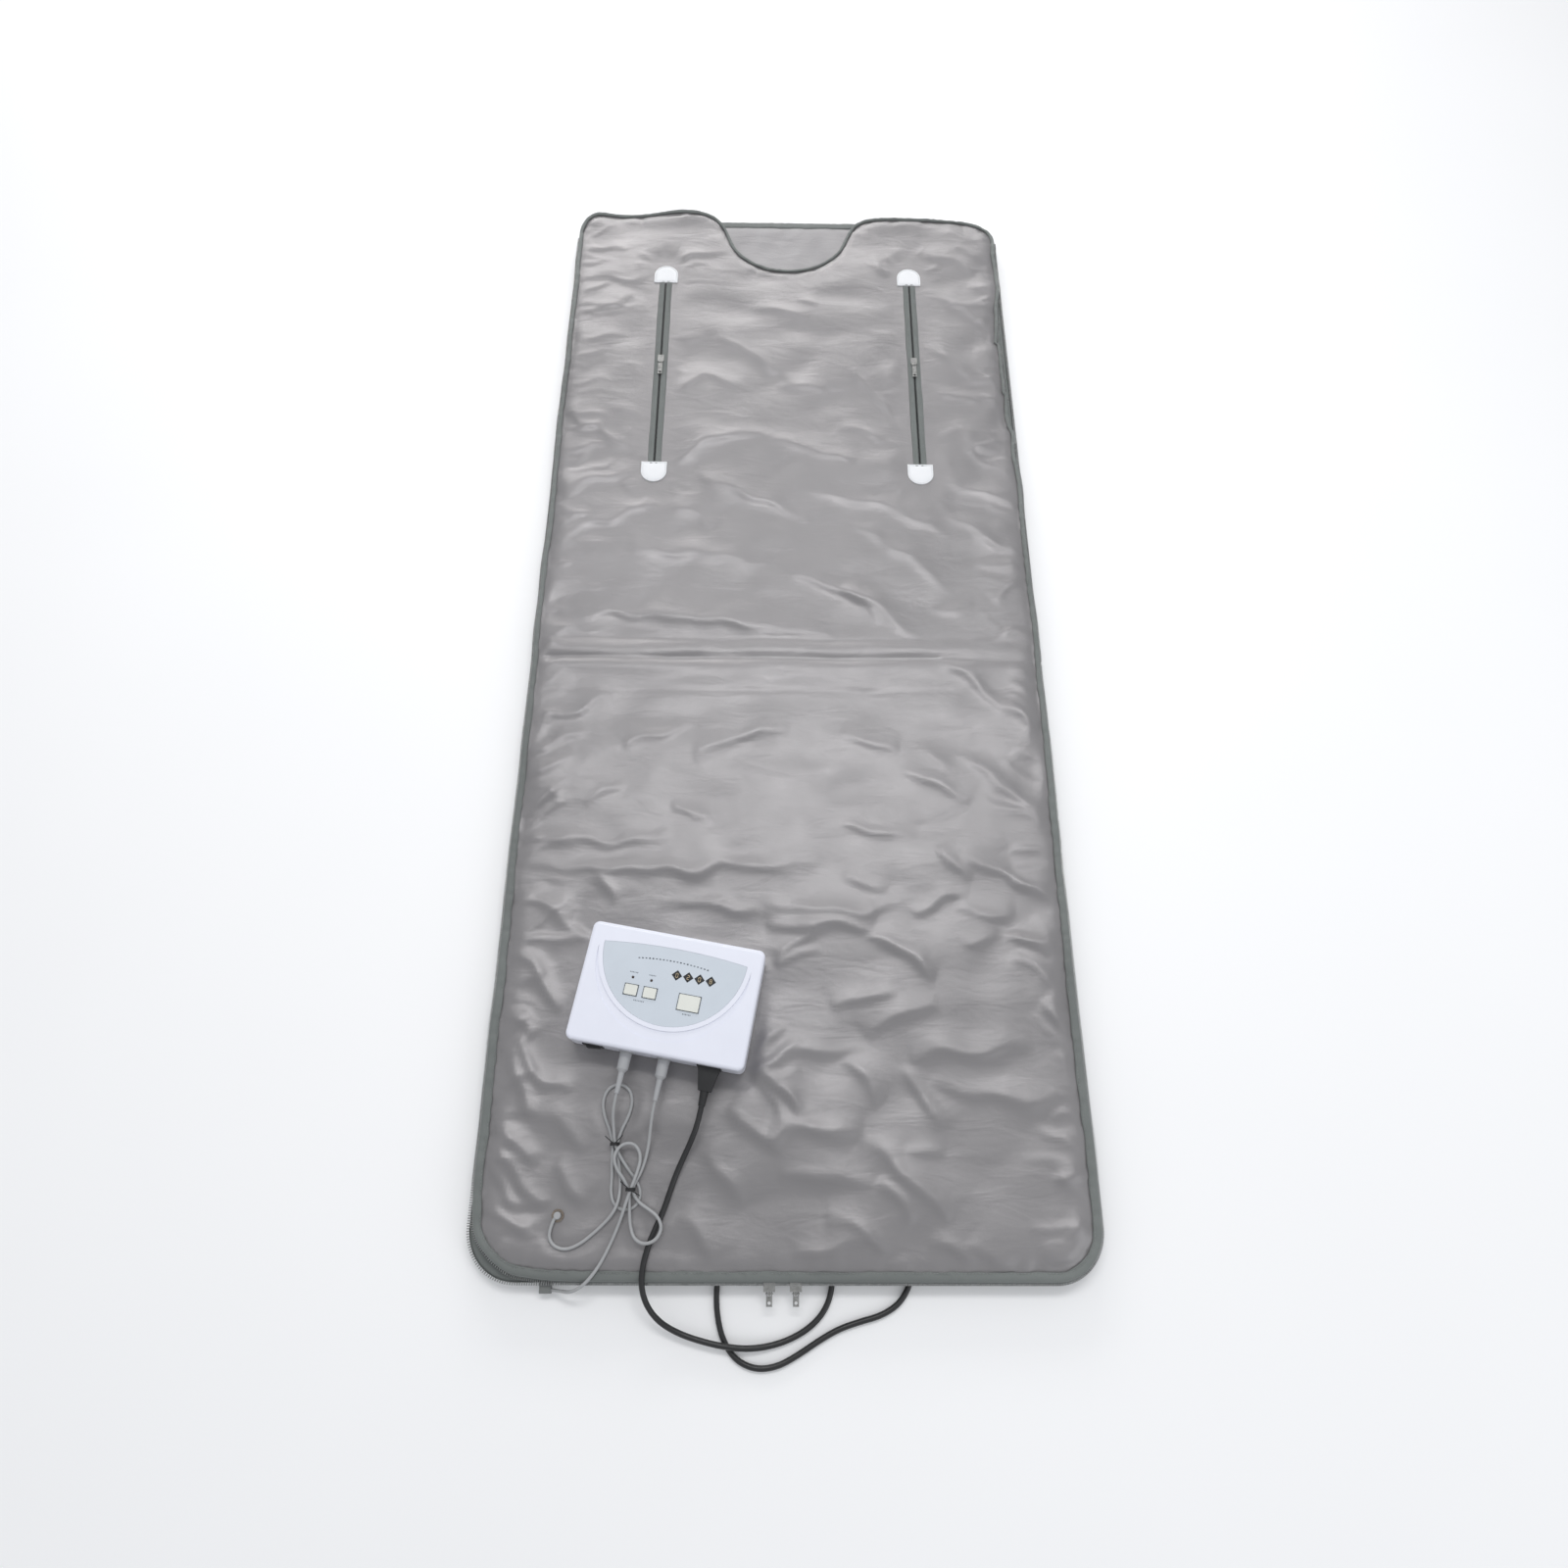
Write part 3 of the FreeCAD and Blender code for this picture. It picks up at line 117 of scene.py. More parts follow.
MAINS = [
    (-0.1063, -0.6976, 0.054), (-0.1097, -0.7163, 0.054), (-0.1175, -0.737, 0.0474),
    (-0.1275, -0.757, 0.0386), (-0.1365, -0.777, 0.0338), (-0.143, -0.797, 0.0333),
    (-0.1495, -0.817, 0.0334), (-0.1585, -0.837, 0.0333), (-0.1665, -0.857, 0.0334),
    (-0.1715, -0.878, 0.0336), (-0.172, -0.901, 0.0336), (-0.164, -0.922, 0.027),
    (-0.149, -0.939, 0.0176), (-0.126, -0.951, 0.0124), (-0.099, -0.959, 0.0114),
    (-0.072, -0.9645, 0.0113), (-0.045, -0.967, 0.009), (-0.018, -0.9645, 0.0046),
    (0.008, -0.9565, 0.0036), (0.032, -0.943, 0.0037), (0.049, -0.924, 0.0036),
    (0.0565, -0.9, 0.0037), (0.0545, -0.875, 0.0036), (0.042, -0.854, 0.0037),
    (0.021, -0.8405, 0.0036), (-0.005, -0.835, 0.0037), (-0.031, -0.837, 0.0036),
    (-0.056, -0.847, 0.0037), (-0.074, -0.865, 0.0036), (-0.0825, -0.888, 0.0037),
    (-0.0845, -0.912, 0.0036), (-0.082, -0.936, 0.0037), (-0.075, -0.959, 0.0036),
    (-0.06, -0.979, 0.0037), (-0.036, -0.989, 0.0036), (-0.01, -0.986, 0.0037),
    (0.015, -0.9735, 0.0036), (0.038, -0.9595, 0.0037), (0.062, -0.947, 0.0036),
    (0.088, -0.939, 0.0037), (0.115, -0.9325, 0.0036), (0.138, -0.919, 0.0037),
    (0.1515, -0.897, 0.0036), (0.1585, -0.865, 0.0037), (0.1605, -0.825, 0.0036),
    (0.159, -0.78, 0.0037), (0.163, -0.741, 0.0036), (0.18, -0.708, 0.0037),
    (0.212, -0.69, 0.0036), (0.246, -0.694, 0.0037), (0.27, -0.713, 0.0038),
    (0.281, -0.736, 0.0056), (0.282, -0.757, 0.008), (0.282, -0.778, 0.008),
]


def nurbs(name, points, diameter):
    """A round cord along one smooth spline that has the points as its control points."""
    curve = bpy.data.curves.new(name, "CURVE")
    curve.dimensions = "3D"
    spline = curve.splines.new("NURBS")
    spline.points.add(len(points) - 1)
    for point, place in zip(spline.points, points):
        point.co = (*place, 1.0)
    spline.order_u = 3
    spline.use_endpoint_u = True
    spline.resolution_u = 6
    curve.bevel_depth = diameter / 2
    curve.bevel_resolution = 4
    curve.use_fill_caps = True
    return linked(name, curve)


lead_1 = nurbs("heater_lead_1", LEAD_1, 0.004)
lead_2 = nurbs("heater_lead_2", LEAD_2, 0.004)
mains_lead = nurbs("mains_lead", MAINS, 0.007)


# ---------------------------------------------------------------- materials
looks = {}


class Shade:
    """A look: a node material round one Principled shader, with short calls for its textures."""

    def __init__(self, name, colour, roughness, **fixed):
        self.mat = bpy.data.materials.new(name)
        self.mat.use_nodes = True
        self.mat.diffuse_color = (*colour, 1.0)
        self.tree = self.mat.node_tree
        self.bsdf = self.tree.nodes["Principled BSDF"]
        self.bsdf.inputs["Base Color"].default_value = (*colour, 1.0)
        self.bsdf.inputs["Roughness"].default_value = roughness
        for socket, value in fixed.items():
            self.bsdf.inputs[socket.replace("_", " ")].default_value = value
        self.where = self.add("ShaderNodeTexCoord").outputs["Object"]
        looks[name] = self

    def add(self, kind, **settings):
        made = self.tree.nodes.new(kind)
        for key, value in settings.items():
            setattr(made, key, value)
        return made

    def link(self, source, target):
        self.tree.links.new(source, target)

    def stretched(self, scale, turn=0.0):
        mapping = self.add("ShaderNodeMapping")
        mapping.inputs["Scale"].default_value = scale
        mapping.inputs["Rotation"].default_value = (0.0, 0.0, turn)
        self.link(self.where, mapping.inputs["Vector"])
        return mapping.outputs["Vector"]

    def noise(self, scale, detail=3.0, stretch=None, turn=0.0, distortion=0.0):
        made = self.add("ShaderNodeTexNoise")
        made.inputs["Scale"].default_value = scale
        made.inputs["Detail"].default_value = detail
        made.inputs["Distortion"].default_value = distortion
        self.link(self.stretched(stretch, turn) if stretch else self.where, made.inputs["Vector"])
        return made.outputs["Fac"]

    def bands(self, period, direction, distortion=0.0, turn=0.0):
        made = self.add("ShaderNodeTexWave", bands_direction=direction)
        made.inputs["Scale"].default_value = math.pi / (10.0 * period)
        made.inputs["Distortion"].default_value = distortion
        self.link(self.stretched((1, 1, 1), turn) if turn else self.where, made.inputs["Vector"])
        return made.outputs["Fac"]

    def maths(self, operation, a, b):
        made = self.add("ShaderNodeMath", operation=operation)
        for socket, value in zip(made.inputs, (a, b)):
            if isinstance(value, (int, float)):
                socket.default_value = value
            else:
                self.link(value, socket)
        return made.outputs[0]

    def spread(self, fac, low, high, start=0.0, end=1.0):
        made = self.add("ShaderNodeMapRange")
        for socket, value in zip(("From Min", "From Max", "To Min", "To Max"), (start, end, low, high)):
            made.inputs[socket].default_value = value
        self.link(fac, made.inputs["Value"])
        return made.outputs["Result"]

    def tints(self, fac, *stops):
        ramp = self.add("ShaderNodeValToRGB")
        band = ramp.color_ramp
        while len(band.elements) < len(stops):
            band.elements.new(0.5)
        for element, (at, colour) in zip(band.elements, stops):
            element.position, element.color = at, (*colour, 1.0)
        self.link(fac, ramp.inputs["Fac"])
        return ramp.outputs["Color"]

    def colour(self, source):
        self.link(source, self.bsdf.inputs["Base Color"])
        return self

    def rough(self, source):
        self.link(source, self.bsdf.inputs["Roughness"])
        return self

    def bump(self, height, distance, strength=1.0):
        """Adds a layer of bump over those already there."""
        made = self.add("ShaderNodeBump")
        made.inputs["Distance"].default_value = distance
        made.inputs["Strength"].default_value = strength
        self.link(height, made.inputs["Height"])
        normal = self.bsdf.inputs["Normal"]
        if normal.is_linked:
            self.link(normal.links[0].from_socket, made.inputs["Normal"])
        self.link(made.outputs["Normal"], normal)
        return self


def scaled(colour, factor):
    return tuple(c * factor for c in colour)


def woven(shade, thread, depth):
    """A plain weave: two sets of threads that cross."""
    over = shade.maths("MULTIPLY", shade.bands(thread, "X"), shade.bands(thread, "Y"))
    return shade.bump(over, depth)


def fabric(name, colour, roughness, thread=0.0007, depth=0.00008, vary=0.12, creases=0.0, **fixed):
    """Woven cloth or thread, with faint blotches, an uneven sheen and fine creases where asked."""
    made = Shade(name, colour, roughness, **fixed)
    wide = made.noise(3.0, 4.0)
    made.colour(made.tints(wide, (0.3, scaled(colour, 1 - vary)), (0.7, scaled(colour, 1 + vary))))
    made.rough(made.spread(made.noise(22.0, 5.0), roughness * 0.86, roughness * 1.16, 0.3, 0.7))
    if creases:
        made.bump(made.noise(26.0, 3.0, stretch=(0.55, 1.5, 1.0), turn=0.25, distortion=0.6), creases)
        made.bump(made.noise(120.0, 4.0, stretch=(0.8, 1.2, 1.0), turn=-0.3), creases * 0.12)
    return woven(made, thread, depth)


def moulded(name, colour, roughness, grain=900.0, depth=0.00004, vary=0.05, **fixed):
    """Moulded plastic or rubber: fine grain, faint blotches and a scuffed sheen."""
    made = Shade(name, colour, roughness, **fixed)
    blotches = made.noise(30.0, 4.0)
    made.colour(made.tints(blotches, (0.3, scaled(colour, 1 - vary)), (0.7, scaled(colour, 1 + vary))))
    scuffs = made.noise(140.0, 6.0, stretch=(1.0, 0.35, 1.0), turn=0.6)
    made.rough(made.spread(scuffs, roughness * 0.82, roughness * 1.25, 0.35, 0.7))
    return made.bump(made.noise(grain, 2.0), depth)


def plated(name, colour, roughness):
    """Plated metal: darker where it is worn, with fine scratches along one way."""
    made = Shade(name, colour, roughness, Metallic=1.0)
    worn = made.noise(260.0, 5.0)
    made.colour(made.tints(worn, (0.35, scaled(colour, 0.72)), (0.65, colour)))
    scratches = made.noise(700.0, 4.0, stretch=(0.3, 1.5, 1.0))
    made.rough(made.spread(scratches, roughness * 0.7, roughness * 1.5, 0.3, 0.7))
    return made.bump(made.noise(500.0, 3.0), 0.00003)


fabric(
    "grey_nylon", (0.262, 0.253, 0.257), 0.35, thread=0.0006, depth=0.00005, vary=0.05, creases=0.0011,
    Metallic=0.46, Sheen_Weight=0.1, Sheen_Roughness=0.4, Specular_IOR_Level=0.55,
)
fabric("edge_ribbon", (0.150, 0.163, 0.157), 0.6, thread=0.0011, depth=0.00018, vary=0.14, Sheen_Weight=0.2)
fabric(
    "inner_liner", (0.285, 0.276, 0.282), 0.42, thread=0.0008, depth=0.00006, vary=0.06, creases=0.0012,
    Metallic=0.15, Sheen_Weight=0.1,
)
fabric("under_shell", (0.235, 0.232, 0.238), 0.55, thread=0.001, depth=0.0001, vary=0.08, creases=0.0008)
fabric("zip_tape", (0.135, 0.149, 0.143), 0.7, thread=0.0009, depth=0.0002, vary=0.15, Sheen_Weight=0.3)
fabric("patch_white", (0.80, 0.81, 0.83), 0.55, thread=0.0012, depth=0.0002, vary=0.04, Sheen_Weight=0.3)
fabric("thread_grey", (0.20, 0.21, 0.205), 0.6, thread=0.0004, depth=0.0001, vary=0.15, Sheen_Weight=0.3)
fabric("thread_white", (0.62, 0.63, 0.66), 0.6, thread=0.0004, depth=0.0001, vary=0.1)
plated("zip_metal", (0.36, 0.36, 0.35), 0.34)
plated("zip_teeth", (0.46, 0.465, 0.46), 0.34)
plated("eyelet_metal", (0.30, 0.255, 0.215), 0.28)
moulded("zip_coil", (0.010, 0.011, 0.011), 0.35, vary=0.2)
moulded("case_white", (0.76, 0.775, 0.86), 0.34, depth=0.00003, vary=0.012, Coat_Weight=0.15)
moulded("face_blue", (0.555, 0.605, 0.665), 0.42, grain=1400.0, depth=0.00002, vary=0.02)
moulded("button_cream", (0.70, 0.71, 0.66), 0.4, vary=0.03)
# Dark grey for the panel's printed marks, also used for the painted shade in the gaps round the keys
moulded("print_and_gap_shade_grey", (0.085, 0.10, 0.12), 0.5, vary=0.1)
moulded("digit_black", (0.012, 0.012, 0.014), 0.12, depth=0.00001, vary=0.2, Coat_Weight=0.5)
moulded("digit_gold", (0.62, 0.50, 0.30), 0.35, vary=0.1)
moulded("lamp_dark", (0.05, 0.025, 0.02), 0.15, depth=0.00001, vary=0.3, Coat_Weight=0.6)
moulded("board_green", (0.03, 0.14, 0.06), 0.4, vary=0.2)
moulded("rubber_black", (0.020, 0.020, 0.021), 0.7, depth=0.00008, vary=0.15)
moulded("plug_grey", (0.37, 0.375, 0.385), 0.5, depth=0.00006, vary=0.05)
moulded("plug_black", (0.014, 0.014, 0.015), 0.42, depth=0.00006, vary=0.2)
moulded("boot_grey", (0.17, 0.178, 0.174), 0.5, depth=0.00006, vary=0.08)
moulded("lead_grey", (0.35, 0.355, 0.36), 0.42, depth=0.00004, vary=0.06)
moulded("cord_black", (0.013, 0.013, 0.014), 0.4, depth=0.00005, vary=0.2, Coat_Weight=0.1)


def wear(obj, look):
    """Gives an object a look."""
    obj.data.materials.clear()
    obj.data.materials.append(looks[look].mat)
    return obj


def piece(name, verts, faces, look, body=None, slot=None, smooth=True, replaces=()):
    """A mesh piece with its material and the body that it rides on."""
    mesh = bpy.data.meshes.new(name)
    mesh.from_pydata([tuple(map(float, v)) for v in verts], [], [tuple(map(int, f)) for f in faces])
    mesh.validate()
    mesh.update()
    if smooth:
        mesh.shade_smooth()
    made = wear(linked(name, mesh), look)
    if body:
        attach(made, body)
    if replaces:
        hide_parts(*replaces)
    return made


# ---------------------------------------------------------------- outlines and fields
def arc(x, y, radius, start, end):
    """Points along an arc, from one angle in degrees to the other."""
    angles = np.radians(np.linspace(start, end, max(3, int(abs(end - start) * radius * 20))))
    return np.c_[x + radius * np.cos(angles), y + radius * np.sin(angles)]


def even(points, step):
    """A closed outline with its points evenly spaced."""
    loop = np.vstack([points, points[:1]])
    along = np.r_[0, np.cumsum(np.linalg.norm(np.diff(loop, axis=0), axis=1))]
    at = np.linspace(0, along[-1], int(along[-1] / step) + 1)[:-1]
    return np.c_[np.interp(at, along, loop[:, 0]), np.interp(at, along, loop[:, 1])]


def rounded(points, where, rounds):
    """Softens an outline's corners where the weights say."""
    for _ in range(rounds):
        middle = (np.roll(points, 1, 0) + np.roll(points, -1, 0)) / 2
        points = points + (middle - points) * where[:, None] * 0.5
    return points


def outward(points):
    """The outward normals of a closed outline that runs anticlockwise."""
    along = np.roll(points, -1, 0) - np.roll(points, 1, 0)
    along /= np.linalg.norm(along, axis=1)[:, None]
    return np.c_[along[:, 1], -along[:, 0]]


def run_along(line):
    """How far each point is along a closed outline."""
    steps = np.linalg.norm(np.roll(line, -1, 0) - line, axis=1)
    return np.r_[0, np.cumsum(steps)[:-1]]


TURNS = 8192


def wander(at, wavelength, seed):
    """Smooth random values between -1 and 1 along a line."""
    values = np.random.default_rng(seed).uniform(-1, 1, TURNS)
    place = np.asarray(at) / wavelength + 100
    low = np.floor(place).astype(int)
    t = place - low
    t = t * t * (3 - 2 * t)
    return values[low % TURNS] * (1 - t) + values[(low + 1) % TURNS] * t


WAVES = 14


def swell(x, y, wavelength, seed, turn=0.0, stretch=1.0):
    """A smooth random field over the plane, longer along the direction turn by the factor stretch."""
    draw = np.random.default_rng(seed)
    u = x * math.cos(turn) + y * math.sin(turn)
    v = y * math.cos(turn) - x * math.sin(turn)
    total = np.zeros_like(x)
    for _ in range(WAVES):
        angle = draw.uniform(0, 2 * math.pi)
        size = draw.uniform(0.7, 1.5)
        phase = draw.uniform(0, 2 * math.pi)
        pace = 2 * math.pi / wavelength * size
        total += np.cos(pace * (u / stretch * math.cos(angle) + v * math.sin(angle)) + phase)
    return total / math.sqrt(WAVES / 2) / 1.6


def ease(value):
    """Rises smoothly from 0 to 1 as the value does."""
    value = np.clip(value, 0.0, 1.0)
    return value * value * (3 - 2 * value)


# Half the width and the length of the seam line, its corners' radii and the neck opening's circle
HALF_X, HALF_Y = 0.385, 0.895
FOOT_R, HEAD_R = 0.060, 0.050
NECK = (0.000, 0.871, 0.112)
OUTLINE_STEP = 0.003


def blanket_outline(*head):
    """The blanket's outline, anticlockwise from the middle of the foot edge, with what cuts its head edge."""
    foot_x, foot_y = HALF_X - FOOT_R, -HALF_Y + FOOT_R
    head_x, head_y = HALF_X - HEAD_R, HALF_Y - HEAD_R
    corners = [
        [(0.0, -HALF_Y)], arc(foot_x, foot_y, FOOT_R, -90, 0), arc(head_x, head_y, HEAD_R, 0, 90), *head,
        arc(-head_x, head_y, HEAD_R, 90, 180), arc(-foot_x, foot_y, FOOT_R, 180, 270),
    ]
    return even(np.vstack(corners), OUTLINE_STEP)


def cover_outline():
    """The cover's outline, with the neck opening and its two softened corners."""
    x, y, radius = NECK
    ends = [[(x + side * (radius + 0.012), HALF_Y)] for side in (1, -1)]
    line = blanket_outline(ends[0], arc(x, y, radius, 0, -180), ends[1])
    corner = ease((line[:, 1] - 0.81) / 0.03) * ease((0.20 - abs(line[:, 0] - x)) / 0.03)
    return rounded(line, corner, 240)


BASE_LINE = blanket_outline()
COVER_LINE = cover_outline()


def tree_of(points):
    """A search tree over places in plan."""
    tree = kdtree.KDTree(len(points))
    for index, point in enumerate(points):
        tree.insert((point[0], point[1], 0.0), index)
    tree.balance()
    return tree


class Nearest:
    """The nearest point of an outline: its distance inwards and its place along the outline."""

    def __init__(self, line):
        self.line = line
        self.normal = outward(line)
        self.along = run_along(line)
        self.tree = tree_of(line)

    def __call__(self, x, y):
        found = [self.tree.find((a, b, 0.0)) for a, b in zip(x, y)]
        index = np.array([f[1] for f in found])
        offset = np.c_[x, y] - self.line[index]
        inwards = -(offset[:, 0] * self.normal[index, 0] + offset[:, 1] * self.normal[index, 1])
        away = np.array([f[2] for f in found]) * np.sign(inwards)
        return away, index


near_base, near_cover = Nearest(BASE_LINE), Nearest(COVER_LINE)


def within(x, y, polygon):
    """Which points lie inside a polygon."""
    inside = np.zeros(len(x), bool)
    after = np.roll(polygon, -1, 0)
    for (ax, ay), (bx, by) in zip(polygon, after):
        if ay == by:
            continue
        crosses = (ay > y) != (by > y)
        inside ^= crosses & (x < (bx - ax) * (y - ay) / (by - ay) + ax)
    return inside


def run_points(points, spacing=0.003):
    """Places along an open route, about a spacing apart."""
    points = np.array(points)
    out = []
    for a, b in zip(points[:-1], points[1:]):
        out.append(a + (b - a) * np.arange(0, 1, spacing / max(np.linalg.norm(b - a), spacing))[:, None])
    return np.vstack(out + [points[-1:]])


def distance_to(points):
    """A function of x and y: the distance in plan to a set of points."""
    tree = tree_of(points)
    return lambda x, y: np.array([tree.find((a, b, 0.0))[2] for a, b in zip(x, y)])


# The stretches of the cords that lie on the cover, and those of the mains cord under the base
routes = np.vstack([run_points(route) for route in (LEAD_1, LEAD_2, MAINS[:12])])
leads_near = distance_to(routes[(routes[:, 2] < 0.046) & (routes[:, 1] > -0.93)])
under_base = np.vstack([run_points(MAINS[20:32]), run_points(MAINS[41:])])
cord_near = distance_to(under_base)

# The controller's place, turn and half size, and the height of the cover's flat top
BOX_AT, BOX_TURN = (-0.153, -0.563), math.radians(-10.3)
BOX_HALF = (0.114, 0.0765)
CLOTH = 0.0296


def box_frame(x, y):
    """Places in the controller's own frame, from places in plan."""
    dx, dy = x - BOX_AT[0], y - BOX_AT[1]
    along, across = math.cos(BOX_TURN), math.sin(BOX_TURN)
    return dx * along + dy * across, dy * along - dx * across


def from_box(x, y, z):
    """A place in plan and height, from a place in the controller's own frame."""
    return (
        BOX_AT[0] + x * math.cos(BOX_TURN) - y * math.sin(BOX_TURN),
        BOX_AT[1] + x * math.sin(BOX_TURN) + y * math.cos(BOX_TURN),
        CLOTH + z,
    )


def lump(x, y, at, reach):
    """A smooth bump of height 1 about a place, with its reach along x and y."""
    return np.exp(-(((x - at[0]) / reach[0]) ** 2) - ((y - at[1]) / reach[1]) ** 2)


# Where the right edge is pinched in: the place, the depth and the length of each kink
KINKS = ((0.585, 0.0075, 0.06), (0.470, 0.006, 0.04), (0.395, 0.004, 0.03))


def drape(x, y):
    """How the cover's edge lies: where it waves up, pulls in or stands off the base."""
    edge = ease(1 - (HALF_X + 0.005 - abs(x)) / 0.055)
    head = ease((y - 0.835) / 0.055)
    rise = 0.0135 * lump(x, y, (-0.185, 0.91), (0.065, 0.055))
    rise = rise + 0.012 * lump(x, y, (-0.372, 0.915), (0.035, 0.05))
    rise += 0.0070 * lump(x, y, (0.205, 0.91), (0.075, 0.055))
    rise += 0.006 * lump(x, y, (-0.375, -0.89), (0.045, 0.045))
    rise += edge * (x > 0) * 0.005 * wander(y, 0.055, 31) * ease((y - 0.30) / 0.1)
    rise += edge * 0.0012 * wander(y + 3 * (x > 0), 0.045, 12)
    loose = ease((y - 0.28) / 0.12) * ease((0.84 - y) / 0.05)
    pull = edge * np.sign(x) * (x > 0) * loose * (-0.0045 + 0.0045 * wander(y, 0.048, 5))
    pull += edge * np.sign(x) * 0.0013 * wander(y + 2 * (x > 0), 0.06, 8)
    for at, deep, long in KINKS:
        pull -= edge * (x > 0) * deep * ease((y - at) / 0.010) * np.exp(-np.maximum(y - at, 0) / long)
    shift = head * 0.003 * wander(x, 0.07, 15)
    shift -= 0.004 * ease((x - 0.10) / 0.1) * head
    ear = lump(x, y, (0.385, 0.895), (0.055, 0.050))
    pull -= 0.007 * ear
    shift -= 0.008 * ear
    corner = lump(x, y, (-0.385, -0.895), (0.075, 0.060))
    pull += 0.012 * corner
    shift += 0.012 * corner
    return pull, shift, rise


# ---------------------------------------------------------------- the cover's cloth
# The arm openings: how far out, from where to where and half their width, and the cover's fold line
ARM_X, ARM_FOOT, ARM_HEAD, SLIT = 0.220, 0.318, 0.722, 0.006
FOLD = -0.050
COVER_PITCH, BASE_PITCH, HEM = 0.009, 0.0075, 0.004
# Heights: the base mat's top, the cover's underside and the lower rim of its cloth
BASE_TOP, COVER_UNDER, COVER_RIM = 0.0178, 0.0190, 0.0196


def marks(low, high, pitch, *fixed):
    """Grid lines about a pitch apart that include the fixed places."""
    stops = sorted([low, high, *fixed])
    pairs = zip(stops[:-1], stops[1:])
    lines = [np.linspace(a, b, max(2, int(round((b - a) / pitch)) + 1)) for a, b in pairs]
    return np.unique(np.round(np.concatenate(lines), 7))


def cloth_grid(pitch, near, inset, slits=False):
    """Vertices and quads of a flat cloth inside an outline, its rim snapped to the outline."""
    arms = [s * ARM_X + e for s in (-1, 1) for e in (-SLIT, SLIT)] if slits else []
    xs = marks(-HALF_X, HALF_X, pitch, *arms)
    ys = marks(-HALF_Y, HALF_Y, pitch, FOLD, *((ARM_FOOT, ARM_HEAD) if slits else ()))
    gx, gy = np.meshgrid(xs, ys, indexing="ij")
    mx, my = (gx[:-1, :-1] + gx[1:, 1:]) / 2, (gy[:-1, :-1] + gy[1:, 1:]) / 2
    polygon = near.line - near.normal * inset
    keep = within(mx.ravel(), my.ravel(), polygon).reshape(mx.shape)
    if slits:
        keep &= ~((abs(abs(mx) - ARM_X) < SLIT) & (my > ARM_FOOT) & (my < ARM_HEAD))
    index = np.arange(gx.size).reshape(gx.shape)
    quads = np.stack([index[:-1, :-1], index[1:, :-1], index[1:, 1:], index[:-1, 1:]], -1)[keep]
    used = np.unique(quads)
    new = np.full(gx.size, -1)
    new[used] = np.arange(len(used))
    quads = new[quads]
    flat = np.c_[gx.ravel()[used], gy.ravel()[used]]
    rim = rim_of(quads)
    away, found = near(flat[rim, 0], flat[rim, 1])
    outer = away < pitch * 2 + inset
    flat[rim[outer]] = polygon[found[outer]]
    return flat, quads


def edges_of(quads):
    return np.concatenate([quads[:, [a, b]] for a, b in ((0, 1), (1, 2), (2, 3), (3, 0))])


def sides_of(quads):
    """The open edges of a set of quads, each in its quad's direction."""
    edges = edges_of(quads)
    keys = np.sort(edges, axis=1)
    code = keys[:, 0].astype(np.int64) * 10_000_000 + keys[:, 1]
    _, first, count = np.unique(code, return_index=True, return_counts=True)
    return edges[first[count == 1]]


def rim_of(quads):
    return np.unique(sides_of(quads))


def evaluated(body):
    """A body's mesh after its modifiers, and its vertices' places."""
    shape = body.evaluated_get(bpy.context.evaluated_depsgraph_get()).data
    points = np.empty(len(shape.vertices) * 3, np.float32)
    shape.vertices.foreach_get("co", points)
    return shape, points.reshape(-1, 3).astype(float)


START = 0.0015


def buckled(flat, quads, held, slack, frames, gravity):
    """Lets fabric that is cut larger than its place buckle on a plane, and gives its points."""
    mesh = bpy.data.meshes.new("buckling")
    start = np.c_[flat, START + 0.0006 * swell(flat[:, 0], flat[:, 1], 0.06, 3, 0.2, 2.5)]
    mesh.from_pydata(start.tolist(), [], quads.tolist())
    body = linked("buckling", mesh)
    group = body.vertex_groups.new(name="held")
    for weight in np.unique(np.round(held, 2)):
        if weight > 0:
            group.add(np.flatnonzero(np.round(held, 2) == weight).tolist(), float(weight), "REPLACE")
    body.shape_key_add(name="Basis")
    cut = body.shape_key_add(name="cut")
    cut.data.foreach_set("co", np.c_[slack, start[:, 2]].astype(np.float32).ravel())
    cut.value = 0.0
    table = bpy.data.meshes.new("rest")
    table.from_pydata([(-1, -1.5, 0), (1, -1.5, 0), (1, 1.5, 0), (-1, 1.5, 0)], [], [(0, 1, 2, 3)])
    rest = linked("rest", table)
    rest.modifiers.new("collision", "COLLISION")
    rest.collision.thickness_outer = 0.001
    cloth = body.modifiers.new("cloth", "CLOTH")
    settings = cloth.settings
    settings.rest_shape_key = cut
    settings.vertex_group_mass = "held"
    settings.quality = 5
    settings.mass = 0.12
    settings.tension_stiffness = settings.compression_stiffness = 12.0
    settings.shear_stiffness = 4.0
    settings.bending_stiffness = 1.4
    settings.air_damping = 3.0
    settings.effector_weights.gravity = gravity
    cloth.collision_settings.collision_quality = 2
    cloth.collision_settings.distance_min = 0.001
    cloth.point_cache.frame_start, cloth.point_cache.frame_end = 1, frames
    for step in range(1, frames + 1):
        scene.frame_set(step)
    _, points = evaluated(body)
    for gone in (body, rest):
        bpy.data.objects.remove(gone)
    scene.frame_set(1)
    return points


def settled(values, quads, rounds):
    """Evens out values over a cloth: each point takes part of its neighbours' mean."""
    edges = edges_of(quads)
    edges = np.vstack([edges, edges[:, ::-1]])
    count = np.bincount(edges[:, 0], minlength=len(values))
    for _ in range(rounds):
        mean = np.bincount(edges[:, 0], weights=values[edges[:, 1]], minlength=len(values)) / count
        values = values + 0.5 * (mean - values)
    return values


